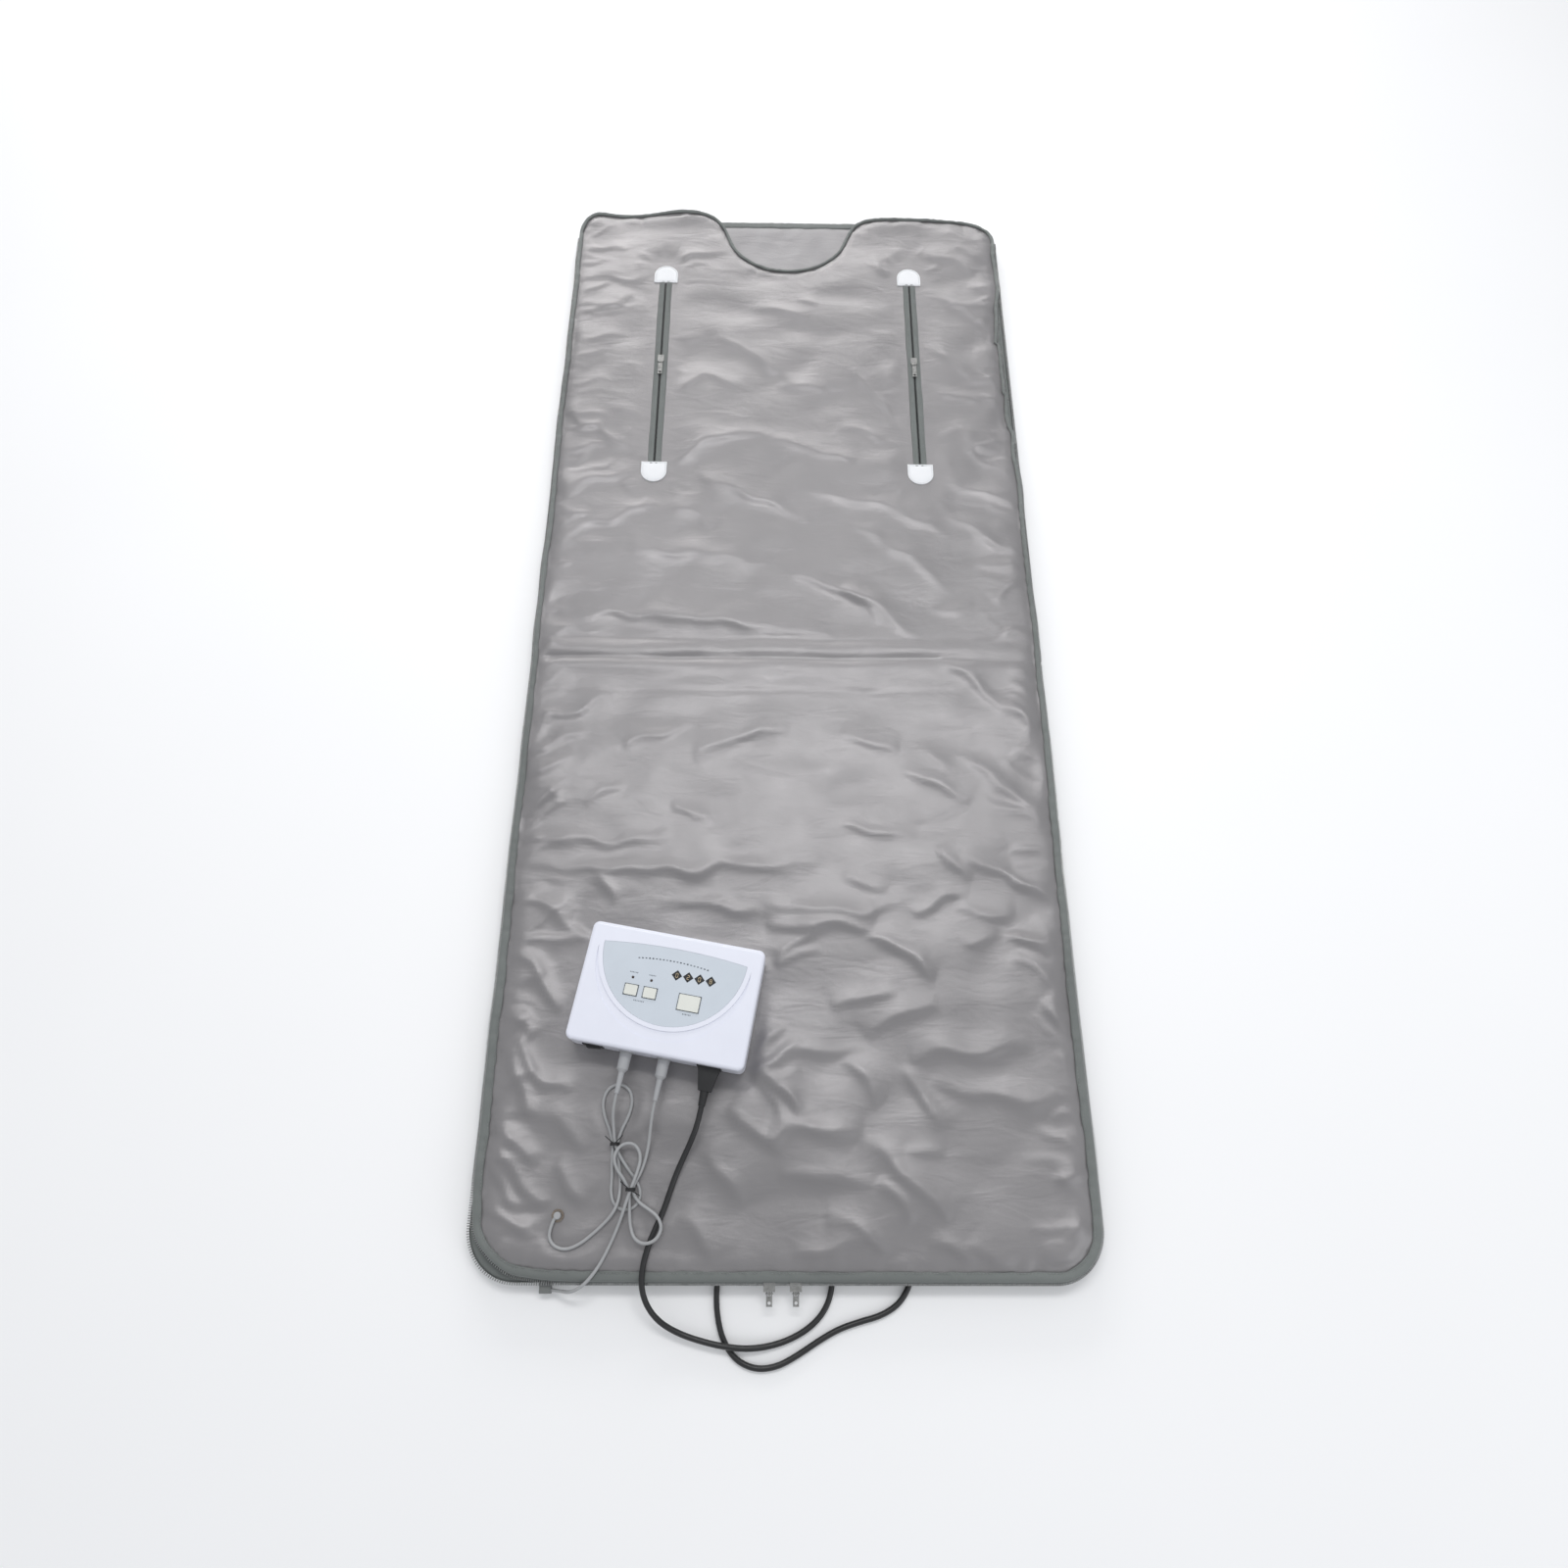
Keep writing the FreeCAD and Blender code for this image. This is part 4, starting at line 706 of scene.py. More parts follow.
def refined(points, quads):
    """The same cloth with each quad split in four, smoothly."""
    mesh = bpy.data.meshes.new("refining")
    mesh.from_pydata(points.tolist(), [], quads.tolist())
    body = linked("refining", mesh)
    finer = body.modifiers.new("finer", "SUBSURF")
    finer.levels = 1
    shape, found = evaluated(body)
    corners = np.empty(len(shape.loops), np.int32)
    shape.loops.foreach_get("vertex_index", corners)
    bpy.data.objects.remove(body)
    return found, corners.reshape(-1, 4)


def held_places(flat):
    """How firmly each point of the cover's cloth is held: at its seams, its zips and under the box."""
    x, y = flat[:, 0], flat[:, 1]
    away, _ = near_cover(x, y)
    held = 1 - ease((away - 0.006) / 0.012)
    arm = (abs(abs(x) - ARM_X) < 0.018) & (y > ARM_FOOT - 0.034) & (y < ARM_HEAD + 0.034)
    u, v = box_frame(x, y)
    box = (abs(u) < 0.116) & (abs(v) < 0.080)
    held[arm | box] = 1.0
    held[abs(y - FOLD) < 0.006] = 0.6
    return held


def cut_size(flat):
    """The cloth before it was sewn in: a little longer than its place, more so in some parts."""
    x, y = flat[:, 0], flat[:, 1]
    across = x * 1.0018 + 0.0005 * swell(x, y, 0.24, 21)
    along = y * 1.0062 + 0.0012 * swell(x, y, 0.26, 22, 0.3, 1.6)
    return np.c_[across, along]


# The folds that are set one by one, in millimetres and degrees: where the fold starts, the way it
# runs, its length, how far its middle bows to the left, its width and its height
HEAD_FOLDS = [
    (-210, 770, 15, 110, 8, 12, 3.0), (-380, 730, 0, 130, 4, 14, 3.0), (-370, 640, 25, 110, 4, 12, 3.0),
    (-130, 590, -35, 170, 16, 17, 4.2), (-20, 490, -10, 80, 0, 14, 3.0), (-200, 470, 5, 120, 26, 12, 3.4),
    (-380, 430, -35, 180, -4, 12, 3.2), (-310, 430, -15, 80, 2, 10, 2.2), (-190, 310, 20, 180, 40, 15, 4.4),
    (-40, 370, -20, 160, 6, 16, 4.2), (-160, 300, -25, 220, -6, 16, 3.8), (30, 260, -20, 250, 22, 16, 3.8),
    (-380, 260, 15, 140, 4, 14, 3.6), (-380, 160, 25, 190, -2, 14, 3.4), (-250, 140, -5, 230, 6, 15, 3.8),
    (-190, 230, -30, 80, 4, 11, 2.6), (-350, 30, -5, 430, 6, 17, 5.0), (240, 800, -25, 110, 14, 13, 3.0),
    (250, 700, -35, 150, 12, 13, 3.2), (330, 730, -30, 60, 4, 10, 2.6), (230, 580, -40, 130, 8, 11, 2.8),
    (250, 470, -15, 80, 4, 9, 2.4), (270, 400, -30, 120, -12, 13, 3.0), (160, 500, -20, 60, 16, 8, 2.4),
    (110, 520, -60, 180, 6, 9, 3.0), (80, 390, -20, 110, 12, 12, 2.8), (-60, 670, -25, 100, 4, 13, 2.8),
    (20, 690, -30, 40, 0, 8, 1.8), (150, 790, -55, 60, 0, 8, 2.0), (250, 290, -20, 150, -8, 13, 3.2),
    (240, 240, -35, 170, -14, 14, 3.6), (100, 200, -40, 200, 12, 13, 3.6), (0, 100, -30, 230, 30, 14, 4.8),
    (80, 75, -45, 90, 8, 10, 3.0), (220, 40, -5, 70, 3, 11, 2.8), (300, 120, 0, 70, -6, 10, 2.6),
    (320, 60, 35, 60, 2, 10, 2.6), (330, 0, -20, 50, 0, 9, 2.4), (220, -30, -45, 210, 0, 14, 4.4),
]
MIDDLE_FOLDS = [
    (-370, -170, 25, 120, 4, 11, 3.0), (-370, -205, 20, 90, 0, 9, 2.4), (-240, -200, 20, 110, 6, 12, 3.2),
    (-130, -215, 20, 150, 12, 13, 3.2), (-380, -255, 30, 90, 4, 10, 2.8), (-290, -290, 30, 70, 2, 8, 2.2),
    (-380, -300, 25, 70, 0, 10, 2.8), (-160, -295, -10, 50, 0, 7, 1.8), (-370, -340, 0, 210, -8, 11, 3.0),
    (-370, -375, 0, 400, -12, 13, 3.8), (-260, -390, -65, 50, 0, 9, 2.6), (-380, -420, -20, 100, -4, 10, 2.8),
    (-170, -430, -5, 140, 0, 10, 2.4), (-20, -435, 0, 180, -6, 12, 2.8), (-30, -465, 0, 150, 2, 15, 4.4),
    (110, -470, -35, 110, 8, 12, 4.0), (320, -120, -45, 80, 0, 9, 3.0), (80, -170, -20, 90, -4, 11, 2.8),
    (190, -195, -35, 60, 0, 8, 2.0), (240, -200, -40, 170, 0, 12, 3.6), (160, -235, -25, 110, 4, 12, 3.2),
    (70, -320, -10, 110, 6, 8, 2.4), (210, -350, -50, 60, 0, 8, 2.8), (245, -370, -25, 140, 8, 13, 3.8),
    (175, -450, 20, 80, 14, 10, 3.0), (240, -445, 5, 80, -6, 9, 2.4), (230, -485, 10, 60, 0, 9, 2.2),
    (310, -510, -30, 50, 0, 9, 2.6), (300, -470, -30, 60, 0, 10, 2.4), (80, -400, -10, 60, 0, 9, 2.2),
]
FOOT_FOLDS = [
    (-370, -500, -45, 110, 4, 11, 4.0), (-380, -570, -40, 70, 0, 9, 3.0), (-370, -620, -60, 100, 4, 11, 4.2),
    (-360, -615, -40, 110, -4, 9, 3.4), (-380, -710, -40, 90, 6, 10, 4.4), (-375, -730, -45, 120, -4, 11, 5.0),
    (-380, -745, -55, 90, 0, 10, 4.0), (-380, -810, -30, 90, 2, 10, 3.4), (-290, -770, -35, 60, 0, 12, 3.0),
    (-340, -690, -30, 110, 4, 12, 3.2), (-100, -745, -50, 90, -4, 13, 4.0), (-75, -690, -35, 90, -6, 12, 4.0),
    (-130, -820, -45, 70, 0, 14, 3.4), (-45, -640, 50, 60, 0, 9, 2.8), (-30, -645, 10, 130, 10, 12, 3.2),
    (-40, -645, -45, 90, 8, 11, 3.6), (-20, -730, 0, 120, 6, 17, 5.0), (90, -735, -40, 140, 8, 16, 5.0),
    (-10, -775, -5, 120, 8, 14, 3.6), (110, -780, -45, 70, 0, 12, 3.4), (50, -830, -25, 90, 8, 12, 3.4),
    (10, -875, 15, 100, 8, 11, 3.0), (75, -635, -50, 70, 0, 10, 3.0), (155, -645, -65, 90, 0, 11, 3.4),
    (160, -630, 5, 160, -6, 15, 4.0), (180, -660, -10, 170, -12, 14, 3.4), (150, -750, 0, 50, 0, 8, 2.0),
    (170, -855, -25, 70, 8, 11, 3.0), (220, -855, -25, 60, 0, 12, 3.0), (340, -790, 35, 50, 0, 9, 3.0),
    (310, -880, 15, 60, 0, 9, 2.4), (55, -575, 15, 90, 4, 11, 3.0), (100, -605, 20, 110, 8, 14, 3.6),
    (335, -565, -45, 70, 0, 11, 3.2),
]


def set_fold(x, y, way, length, bow, width, height):
    """One fold as the line it runs along, with its width and its height."""
    along = np.array([math.cos(math.radians(way)), math.sin(math.radians(way))])
    start = np.array([x, y], float)
    end = start + length * along
    middle = (start + end) / 2 + bow * np.array([-along[1], along[0]])
    return [start, middle, end], width, height


EDGE_FOLDS_AT = 372.0


def small_folds():
    """Short folds that the seams pull in: along both edges, about the patches and by the controller."""
    draw = np.random.default_rng(91)
    folds = []

    def add(x, y, angle, length, width, height):
        bend = draw.uniform(-0.25, 0.25)
        half = length * 0.5
        middle = (x + math.cos(angle) * half, y + math.sin(angle) * half)
        end = (middle[0] + math.cos(angle + bend) * half, middle[1] + math.sin(angle + bend) * half)
        folds.append(([(x, y), middle, end], width, height))

    def add_drawn(x, y, angle, lengths, widths, heights):
        add(x, y, angle, draw.uniform(*lengths), draw.uniform(*widths), draw.uniform(*heights))

    for side, slant in ((-1, 0.15), (1, -0.25)):
        y = -850.0
        while y < 860:
            angle = draw.normal(slant, 0.38) + (math.pi if side > 0 else 0.0)
            add_drawn(side * EDGE_FOLDS_AT, y, angle, (35, 105), (4.5, 8.5), (0.7, 2.1))
            y += draw.uniform(16, 46)
    for sign in (-1, 1):
        arm = sign * ARM_X * 1000
        for y, way in ((ARM_FOOT * 1000 - 38, -1), (ARM_HEAD * 1000 + 38, 1)):
            for angle in np.linspace(-1.25, 1.25, 6) + draw.uniform(-0.15, 0.15, 6):
                turn = way * math.pi / 2 + angle
                place = (arm + 20 * math.cos(turn), y - way * 12 + 16 * math.sin(turn))
                add_drawn(*place, turn, (30, 75), (4.5, 7), (0.9, 1.9))
        for _ in range(9):
            y = draw.uniform(ARM_FOOT, ARM_HEAD) * 1000
            side = draw.choice((-1, 1))
            turn = draw.normal(-0.35, 0.35) + (math.pi if side < 0 else 0)
            add_drawn(arm + side * 17, y, turn, (25, 70), (4.5, 7), (0.6, 1.4))
    corners = (((116, -70), (-0.9, -0.45, 0.0, 0.4)), ((118, 72), (0.2, 0.7)), ((-118, 60), (2.6, 3.1)))
    for corner, angles in corners:
        x, y, _ = from_box(corner[0] / 1000, corner[1] / 1000, 0)
        for angle in angles:
            add_drawn(x * 1000, y * 1000, angle, (55, 110), (6, 9), (1.6, 2.6))
    return folds


ROUND = 0.35
GENTLE, STEEP = 1.25, 0.5


def softened(points):
    """A line with its corners cut twice."""
    for _ in range(2):
        quarter = 0.75 * points[:-1] + 0.25 * points[1:]
        three = 0.25 * points[:-1] + 0.75 * points[1:]
        points = np.vstack([points[:1], np.stack([quarter, three], 1).reshape(-1, 2), points[-1:]])
    return points


def beside(points, x, y):
    """How far places are from a line, on which side of it, and how far along it."""
    near = np.full(len(x), 1e9)
    side = np.zeros(len(x))
    along = np.zeros(len(x))
    lengths = np.linalg.norm(np.diff(points, axis=0), axis=1)
    gone = 0.0
    for a, b, length in zip(points[:-1], points[1:], lengths):
        way = (b - a) / length
        t = np.clip((x - a[0]) * way[0] + (y - a[1]) * way[1], 0, length)
        ox, oy = x - a[0] - way[0] * t, y - a[1] - way[1] * t
        away = np.hypot(ox, oy)
        closer = away < near
        near = np.where(closer, away, near)
        side = np.where(closer, np.sign(way[0] * oy - way[1] * ox), side)
        along = np.where(closer, (gone + t) / lengths.sum(), along)
        gone += length
    return near, side, along


def fold_field(x, y):
    """The height of all folds. Each is steeper to the right of the way its line runs."""
    total = np.zeros_like(x)
    x, y = x + 0.0055 * swell(x, y, 0.07, 81), y + 0.0050 * swell(x, y, 0.08, 82)
    set_folds = [set_fold(*fold) for fold in HEAD_FOLDS + MIDDLE_FOLDS + FOOT_FOLDS]
    for line, width, height in set_folds + small_folds():
        near, side, along = beside(softened(np.array(line) / 1000.0), x, y)
        fade = np.clip(4 * along * (1 - along), 0, 1) ** 0.7
        reach = width / 1000.0 * np.where(side > 0, GENTLE, STEEP)
        total += height / 1000.0 * fade * np.exp(ROUND - np.sqrt((near / reach) ** 2 + ROUND**2))
    return total * (1.15 + 0.45 * ease((-0.1 - y) / 0.4))


def ribbon_width(line):
    """The binding's width along the cover's outline: slimmer towards the head and round the neck."""
    wide = 0.0070 + 0.0046 * ease((0.25 - line[:, 1]) / 0.9)
    head = ease((line[:, 1] - 0.845) / 0.03)
    neck = ease((0.155 - abs(line[:, 0] - NECK[0])) / 0.02) * (line[:, 1] > 0.7)
    return wide + (0.0056 - wide) * np.maximum(head, neck)


# The crease's grooves across the cover: where, how deep and how wide; and the swells between them
GROOVES = ((-0.0170, 0.0011, 0.0035), (-0.0500, 0.0024, 0.0045), (-0.1050, 0.0010, 0.0035))
SWELLS = ((-0.034, 0.0020, 0.011), (-0.066, 0.0015, 0.010))
# The gathers beside the ribbon: height, wavelength, seed, and how they rise and how far they reach
GATHERS = ((0.0013, 0.012, 41, 0.004, 0.015), (0.0011, 0.034, 43, 0.006, 0.035))
EYELET_AT = (-0.2775, -0.8225)


def crease_height(x, y):
    """The creases left by folding the blanket in half, deeper towards the left edge."""
    height = 0.0
    for at, depth, width in GROOVES:
        wave = at + 0.0022 * wander(x, 0.11, int(-at * 1000))
        uneven = 1.0 + 0.5 * wander(x, 0.08, 7 + int(-at * 500))
        deep = depth * uneven * (1.25 - 0.9 * ease((x + 0.1) / 0.5))
        height = height - deep * np.exp(-(((y - wave) / width) ** 2))
    for at, high, width in SWELLS:
        height = height + high * np.exp(-(((y - at) / width) ** 2))
    return height


def pucker_height(along, past):
    """The gathers beside the ribbon: fine ones, and wider ones that reach further in."""
    height = 0.0
    for high, wavelength, seed, rise, reach in GATHERS:
        fade = ease((past + 0.001) / rise) * np.exp(-np.maximum(past, 0) / reach)
        height += high * wander(along, wavelength, seed) * fade
    return height


def cover_height(x, y, slack):
    """The height of the cover's cloth over its flat top."""
    away, index = near_cover(x, y)
    past = away - ribbon_width(near_cover.line)[index]
    broad = 0.0018 * swell(x, y, 0.22, 51, 0.2, 1.8) + 0.0008 * swell(x, y, 0.085, 52, 0.15, 2.2)
    inner = ease((past + 0.002) / 0.024)
    arm_y = np.clip(y, ARM_FOOT - 0.04, ARM_HEAD + 0.04)
    sewn = ease((np.hypot(abs(x) - ARM_X, y - arm_y) - 0.012) / 0.045)
    u, v = box_frame(x, y)
    box = np.hypot(np.maximum(abs(u) - BOX_HALF[0], 0), np.maximum(abs(v) - BOX_HALF[1], 0))
    clear = ease((box - 0.001) / 0.02) * ease((leads_near(x, y) - 0.003) / 0.012)
    clear *= ease((np.hypot(x - EYELET_AT[0], y - EYELET_AT[1]) - 0.010) / 0.015)
    sink = -0.0022 * (1 - ease((past + 0.0005) / 0.011))
    height = (broad + slack + fold_field(x, y)) * inner * sewn + crease_height(x, y) * inner
    return (height + pucker_height(near_cover.along[index], past)) * clear + sink


def placed(x, y, z):
    """A point of the cover after its edge's drape."""
    pull, shift, rise = drape(x, y)
    return np.c_[x + pull, y + shift, z + rise]


def make_cover():
    """The cover's cloth: one mesh from edge to edge, bent over the rims of the padding."""
    flat, quads = cloth_grid(COVER_PITCH, near_cover, HEM, slits=True)
    points = buckled(flat, quads, held_places(flat), cut_size(flat), 26, 0.5)
    lift = settled(np.clip(points[:, 2] - START, -0.001, 0.007), quads, 6) * 0.5
    lift -= 0.7 * np.median(lift)
    fine, faces = refined(np.c_[flat, lift], quads)
    x, y = fine[:, 0], fine[:, 1]
    top = placed(x, y, CLOTH + cover_height(x, y, fine[:, 2]))
    rim = sides_of(faces)
    ring = np.unique(rim)
    below = {old: len(top) + place for place, old in enumerate(ring)}
    low = placed(x[ring], y[ring], np.full(len(ring), COVER_RIM))
    walls = [(b, a, below[a], below[b]) for a, b in rim]
    layers = ("outer", "padding", "heater")
    cloth = piece(
        "cover_cloth", np.vstack([top, low]), [*faces.tolist(), *walls], "grey_nylon", slot="grey_nylon",
        replaces=[f"cover_{half}_{layer}" for half in ("foot", "head") for layer in layers],
    )
    across_fold(cloth)


def across_fold(made):
    """Bakes a piece's transform into its mesh."""
    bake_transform(made)


def make_lining():
    """The cover's lining, slack between its edges."""
    flat, quads = cloth_grid(COVER_PITCH, near_cover, HEM, slits=True)
    x, y = flat[:, 0], flat[:, 1]
    away, _ = near_cover(x, y)
    soft = ease(away / 0.03)
    waves = 0.0006 * swell(x, y, 0.11, 61, 0.1, 2.0) + 0.0003 * swell(x, y, 0.04, 62, 0.4, 2.0)
    z = COVER_UNDER + soft * waves
    z -= 0.0005 * soft * np.exp(-(((y - FOLD) / 0.004) ** 2))
    lining = piece(
        "cover_lining", placed(x, y, z), quads[:, ::-1], "inner_liner", slot="inner_liner",
        replaces=("cover_foot_liner", "cover_head_liner"),
    )
    across_fold(lining)


# ---------------------------------------------------------------- base mat
PLUG_AT = (0.282, -0.815)


def base_hollow(x, y):
    """The height of the underside: the cord and its plug press hollows into it."""
    cord = cord_near(x, y)
    groove = 0.0086 * ease((0.0105 - cord) / 0.006)
    across, along = abs(x - PLUG_AT[0]), abs(y - PLUG_AT[1])
    plug = 0.0163 * ease((0.0255 - across) / 0.003) * ease((0.0515 - along) / 0.003)
    return np.maximum(groove, plug)


def make_base():
    """The base mat: the liner on top, the under shell below and round the sides."""
    flat, quads = cloth_grid(BASE_PITCH, near_base, HEM)
    x, y = flat[:, 0], flat[:, 1]
    away, index = near_base(x, y)
    along = near_base.along[index]
    soft = ease((away - 0.004) / 0.03)
    top = BASE_TOP + soft * (0.0005 * swell(x, y, 0.16, 71, 0.1, 1.6) - 0.0005)
    top += 0.0005 * wander(along, 0.014, 72) * ease((away - 0.013) / 0.004) * np.exp(-away / 0.03)
    top -= 0.0012 * (1 - ease((away - 0.0135) / 0.010))
    top -= 0.0016 * np.exp(-(((y - FOLD) / 0.004) ** 2)) * soft
    head = ease((y - 0.72) / 0.05) * ease((0.13 - abs(x)) / 0.03)
    top += head * soft * (0.0011 * swell(x, y, 0.05, 73, 1.2, 2.0))
    low = base_hollow(x, y) + 0.0007 * (1 - ease(away / 0.02))
    count = len(flat)
    rim = sides_of(quads)
    walls = [(b, a, a + count, b + count) for a, b in rim]
    base = piece(
        "base_pad", np.vstack([np.c_[flat, top], np.c_[flat, low]]),
        [*quads.tolist(), *(quads[:, ::-1] + count).tolist(), *walls], "inner_liner", body="blanket",
        slot="inner_liner", replaces=("base_shell", "base_insulation", "base_heater", "base_liner"),
    )
    base.data.materials.append(looks["under_shell"].mat)
    lower = np.zeros(len(base.data.polygons), np.int32)
    lower[len(quads):] = 1
    base.data.polygons.foreach_set("material_index", lower)


# ---------------------------------------------------------------- bindings, seams and zips
def swept(name, line, profile, look, closed=True, placing=None, **where):
    """A strip along an outline. profile(along, index) gives its section: rows of (inwards, height)."""
    normal = outward(line)
    steps = np.linalg.norm(np.roll(line, -1, 0) - line, axis=1)
    along = np.r_[0, np.cumsum(steps)[:-1]]
    sections = np.stack([profile(along, k) for k in range(profile.count)], 1)
    points = line[:, None, :] - normal[:, None, :] * sections[:, :, :1]
    x, y, z = points[..., 0].ravel(), points[..., 1].ravel(), sections[..., 1].ravel()
    verts = placing(x, y, z) if placing else np.c_[x, y, z]
    rows, wide = len(line), profile.count
    index = np.arange(rows * wide).reshape(rows, wide)
    if not closed:
        ahead, here = index[1:], index[:-1]
    else:
        ahead, here = np.roll(index, -1, 0), index
    around = profile.count if profile.loop else profile.count - 1
    faces = []
    for k in range(around):
        m = (k + 1) % profile.count
        faces.append(np.stack([here[:, k], ahead[:, k], ahead[:, m], here[:, m]], -1))
    return piece(name, verts, np.concatenate(faces), look, **where)


class Ribbon:
    """The section of a ribbon folded round an edge, puckered by its stitches."""

    loop = False

    def __init__(self, low, high, width, seed, lip=0.0011):
        self.low, self.high, self.width, self.seed, self.lip = low, high, width, seed, lip
        middle = (low + high) / 2
        self.rows = [
            (1.0, high - 0.0012, 0.3), (0.985, high + lip * 0.3, 0.6), (0.86, high + lip * 0.15, 0.8),
            (0.76, high + lip * 0.5, 1.0), (0.55, high + lip, 1.0), (0.30, high + lip * 0.9, 0.9),
            (0.12, high + lip * 0.3, 0.6), (0.02, high - 0.0012, 0.4), (-0.02, middle, 0.3),
            (0.02, low + 0.0012, 0.3), (0.12, low + 0.0003, 0.3), (0.5, low, 0.3), (0.9, low, 0.2),
            (1.0, low + 0.0010, 0.2),
        ]
        self.count = len(self.rows)

    def __call__(self, along, k):
        share, height, pucker = self.rows[k]
        width = self.width(along) if callable(self.width) else self.width
        edge = 0.0007 * wander(along, 0.010, self.seed) + 0.0006 * wander(along, 0.05, self.seed + 1)
        ripple = 0.00075 * wander(along, 0.0062, self.seed + 2) + 0.0005 * wander(along, 0.019, self.seed + 3)
        return np.c_[width * share + edge * (share > 0.5), height + pucker * ripple]


class Band:
    """A flat strip's section: a closed rectangle."""

    loop = True
    count = 4

    def __init__(self, near, far, low, high):
        self.rows = [(near, high), (far, high), (far, low), (near, low)]

    def __call__(self, along, k):
        return np.c_[np.full(len(along), self.rows[k][0]), np.full(len(along), self.rows[k][1])]


def stitched(name, places, ways, look, length=0.0030, radius=0.00035, **where):
    """Stitches: short bowed threads that lie along a seam."""
    ring = [(1.0, 0.0), (0.0, 1.0), (-1.0, 0.0), (0.0, -0.4)]
    shares = [(-0.5, 0.25, -0.6), (-0.25, 0.95, 0.4), (0.25, 0.95, 0.4), (0.5, 0.25, -0.6)]
    verts, faces = [], []
    for place, way in zip(places, ways):
        way = np.array(way) / np.linalg.norm(way)
        side = np.cross(way, (0, 0, 1.0))
        side /= np.linalg.norm(side)
        up = np.cross(side, way)
        first = len(verts)
        for along, fat, rise in shares:
            for across, high in ring:
                spot = place + way * along * length + side * across * radius * fat
                verts.append(spot + up * (high * fat + rise) * radius)
        for row in range(3):
            for k in range(4):
                a, b = first + row * 4 + k, first + row * 4 + (k + 1) % 4
                faces.append((a, b, b + 4, a + 4))
    return piece(name, np.array(verts), faces, look, **where)


def seam_places(near, pitch, inwards, height, placing=None):
    """Places and directions of stitches along an outline, at a distance inwards from it."""
    line = even(near.line - near.normal * (inwards if np.isscalar(inwards) else inwards[:, None]), pitch)
    ways = np.roll(line, -1, 0) - np.roll(line, 1, 0)
    x, y = line[:, 0], line[:, 1]
    points = placing(x, y, height) if placing else np.c_[x, y, np.full(len(x), height)]
    return points, np.c_[ways, np.zeros(len(ways))]


def teeth(name, line, look, start_z, end_z, pitch, phase, reach, body=None, keep=None, placing=None, **where):
    """A row of zip teeth along an outline, each a small bevelled block with a waist."""
    spots = even(line, pitch)
    normal = outward(spots)
    if keep is not None:
        chosen = keep(spots[:, 0], spots[:, 1])
        spots, normal = spots[chosen], normal[chosen]
    verts, faces = [], []
    thick = pitch * 0.30
    right = [(0.5, 0.0), (0.5, 0.45), (0.85, 0.75), (0.6, 1.0)]
    outline = [(-0.5, 0.0), *right, (-0.6, 1.0), (-0.85, 0.75), (-0.5, 0.45)]
    for (sx, sy), (nx, ny) in zip(spots, normal):
        tx, ty = -ny, nx
        first = len(verts)
        for depth in (0.0, reach):
            for across, tall in outline:
                a = across * thick + phase * pitch
                height = start_z + (end_z - start_z) * tall
                verts.append((sx + nx * depth + tx * a, sy + ny * depth + ty * a, height))
        count = len(outline)
        faces.append(tuple(first + k for k in range(count)))
        faces.append(tuple(first + count + k for k in range(count))[::-1])
        for k in range(count):
            m = (k + 1) % count
            faces.append((first + k, first + count + k, first + count + m, first + m))
    verts = np.array(verts)
    if placing:
        verts = placing(verts[:, 0], verts[:, 1], verts[:, 2])
    return piece(name, verts, faces, look, body=body, smooth=False, **where)


ZIP_END = 0.840


def make_edges():
    width = ribbon_width(COVER_LINE)
    ribbon = Ribbon(0.0190, 0.0294, lambda along: width, 101)
    binding = swept(
        "cover_ribbon", COVER_LINE, ribbon, "edge_ribbon", placing=placed, slot="edge_ribbon",
        replaces=("cover_foot_binding", "cover_head_binding"),
    )
    across_fold(binding)
    places, ways = seam_places(near_cover, 0.0042, width * 0.84, 0.0294 + 0.0003, placing=placed)
    across_fold(stitched("cover_seam", places, ways, "thread_grey", slot="edge_ribbon"))
    swept("base_ribbon", BASE_LINE, BaseRibbon(BASE_LINE), "edge_ribbon", body="blanket",
          slot="edge_ribbon", replaces=("base_binding",))
    places, ways = seam_places(near_base, 0.0042, 0.0118, 0.0178)
    stitched("base_seam", places, ways, "thread_grey", body="blanket", slot="edge_ribbon")


class BaseRibbon(Ribbon):
    """The base mat's ribbon, lifted off the cord where that comes out from under the edge."""

    def __init__(self, line):
        super().__init__(0.0004, 0.0176, 0.0140, 111, lip=0.0005)
        inner = line - outward(line) * 0.007
        away = np.minimum(cord_near(line[:, 0], line[:, 1]), cord_near(inner[:, 0], inner[:, 1]))
        self.lift = 0.0086 * ease((0.0115 - away) / 0.006)

    def __call__(self, along, k):
        section = super().__call__(along, k)
        share = self.rows[k][1]
        section[:, 1] = np.where(share < 0.01, np.maximum(section[:, 1], self.lift), section[:, 1])
        return section


ZIP_GAP = 0.004


def zipped(x, y):
    """Which places of the outline carry the main zip: everywhere but the head end."""
    return y < ZIP_END


def on_foot_half(x, y):
    return y < FOLD - ZIP_GAP


def on_head_half(x, y):
    return zipped(x, y) & (y > FOLD + ZIP_GAP)


def zip_tape(name, line, low, high, body, placing=None):
    swept(name, line, Band(0.004, -0.0014, low, high), "zip_tape", closed=False, placing=placing,
          body=body, slot="zip_tape")


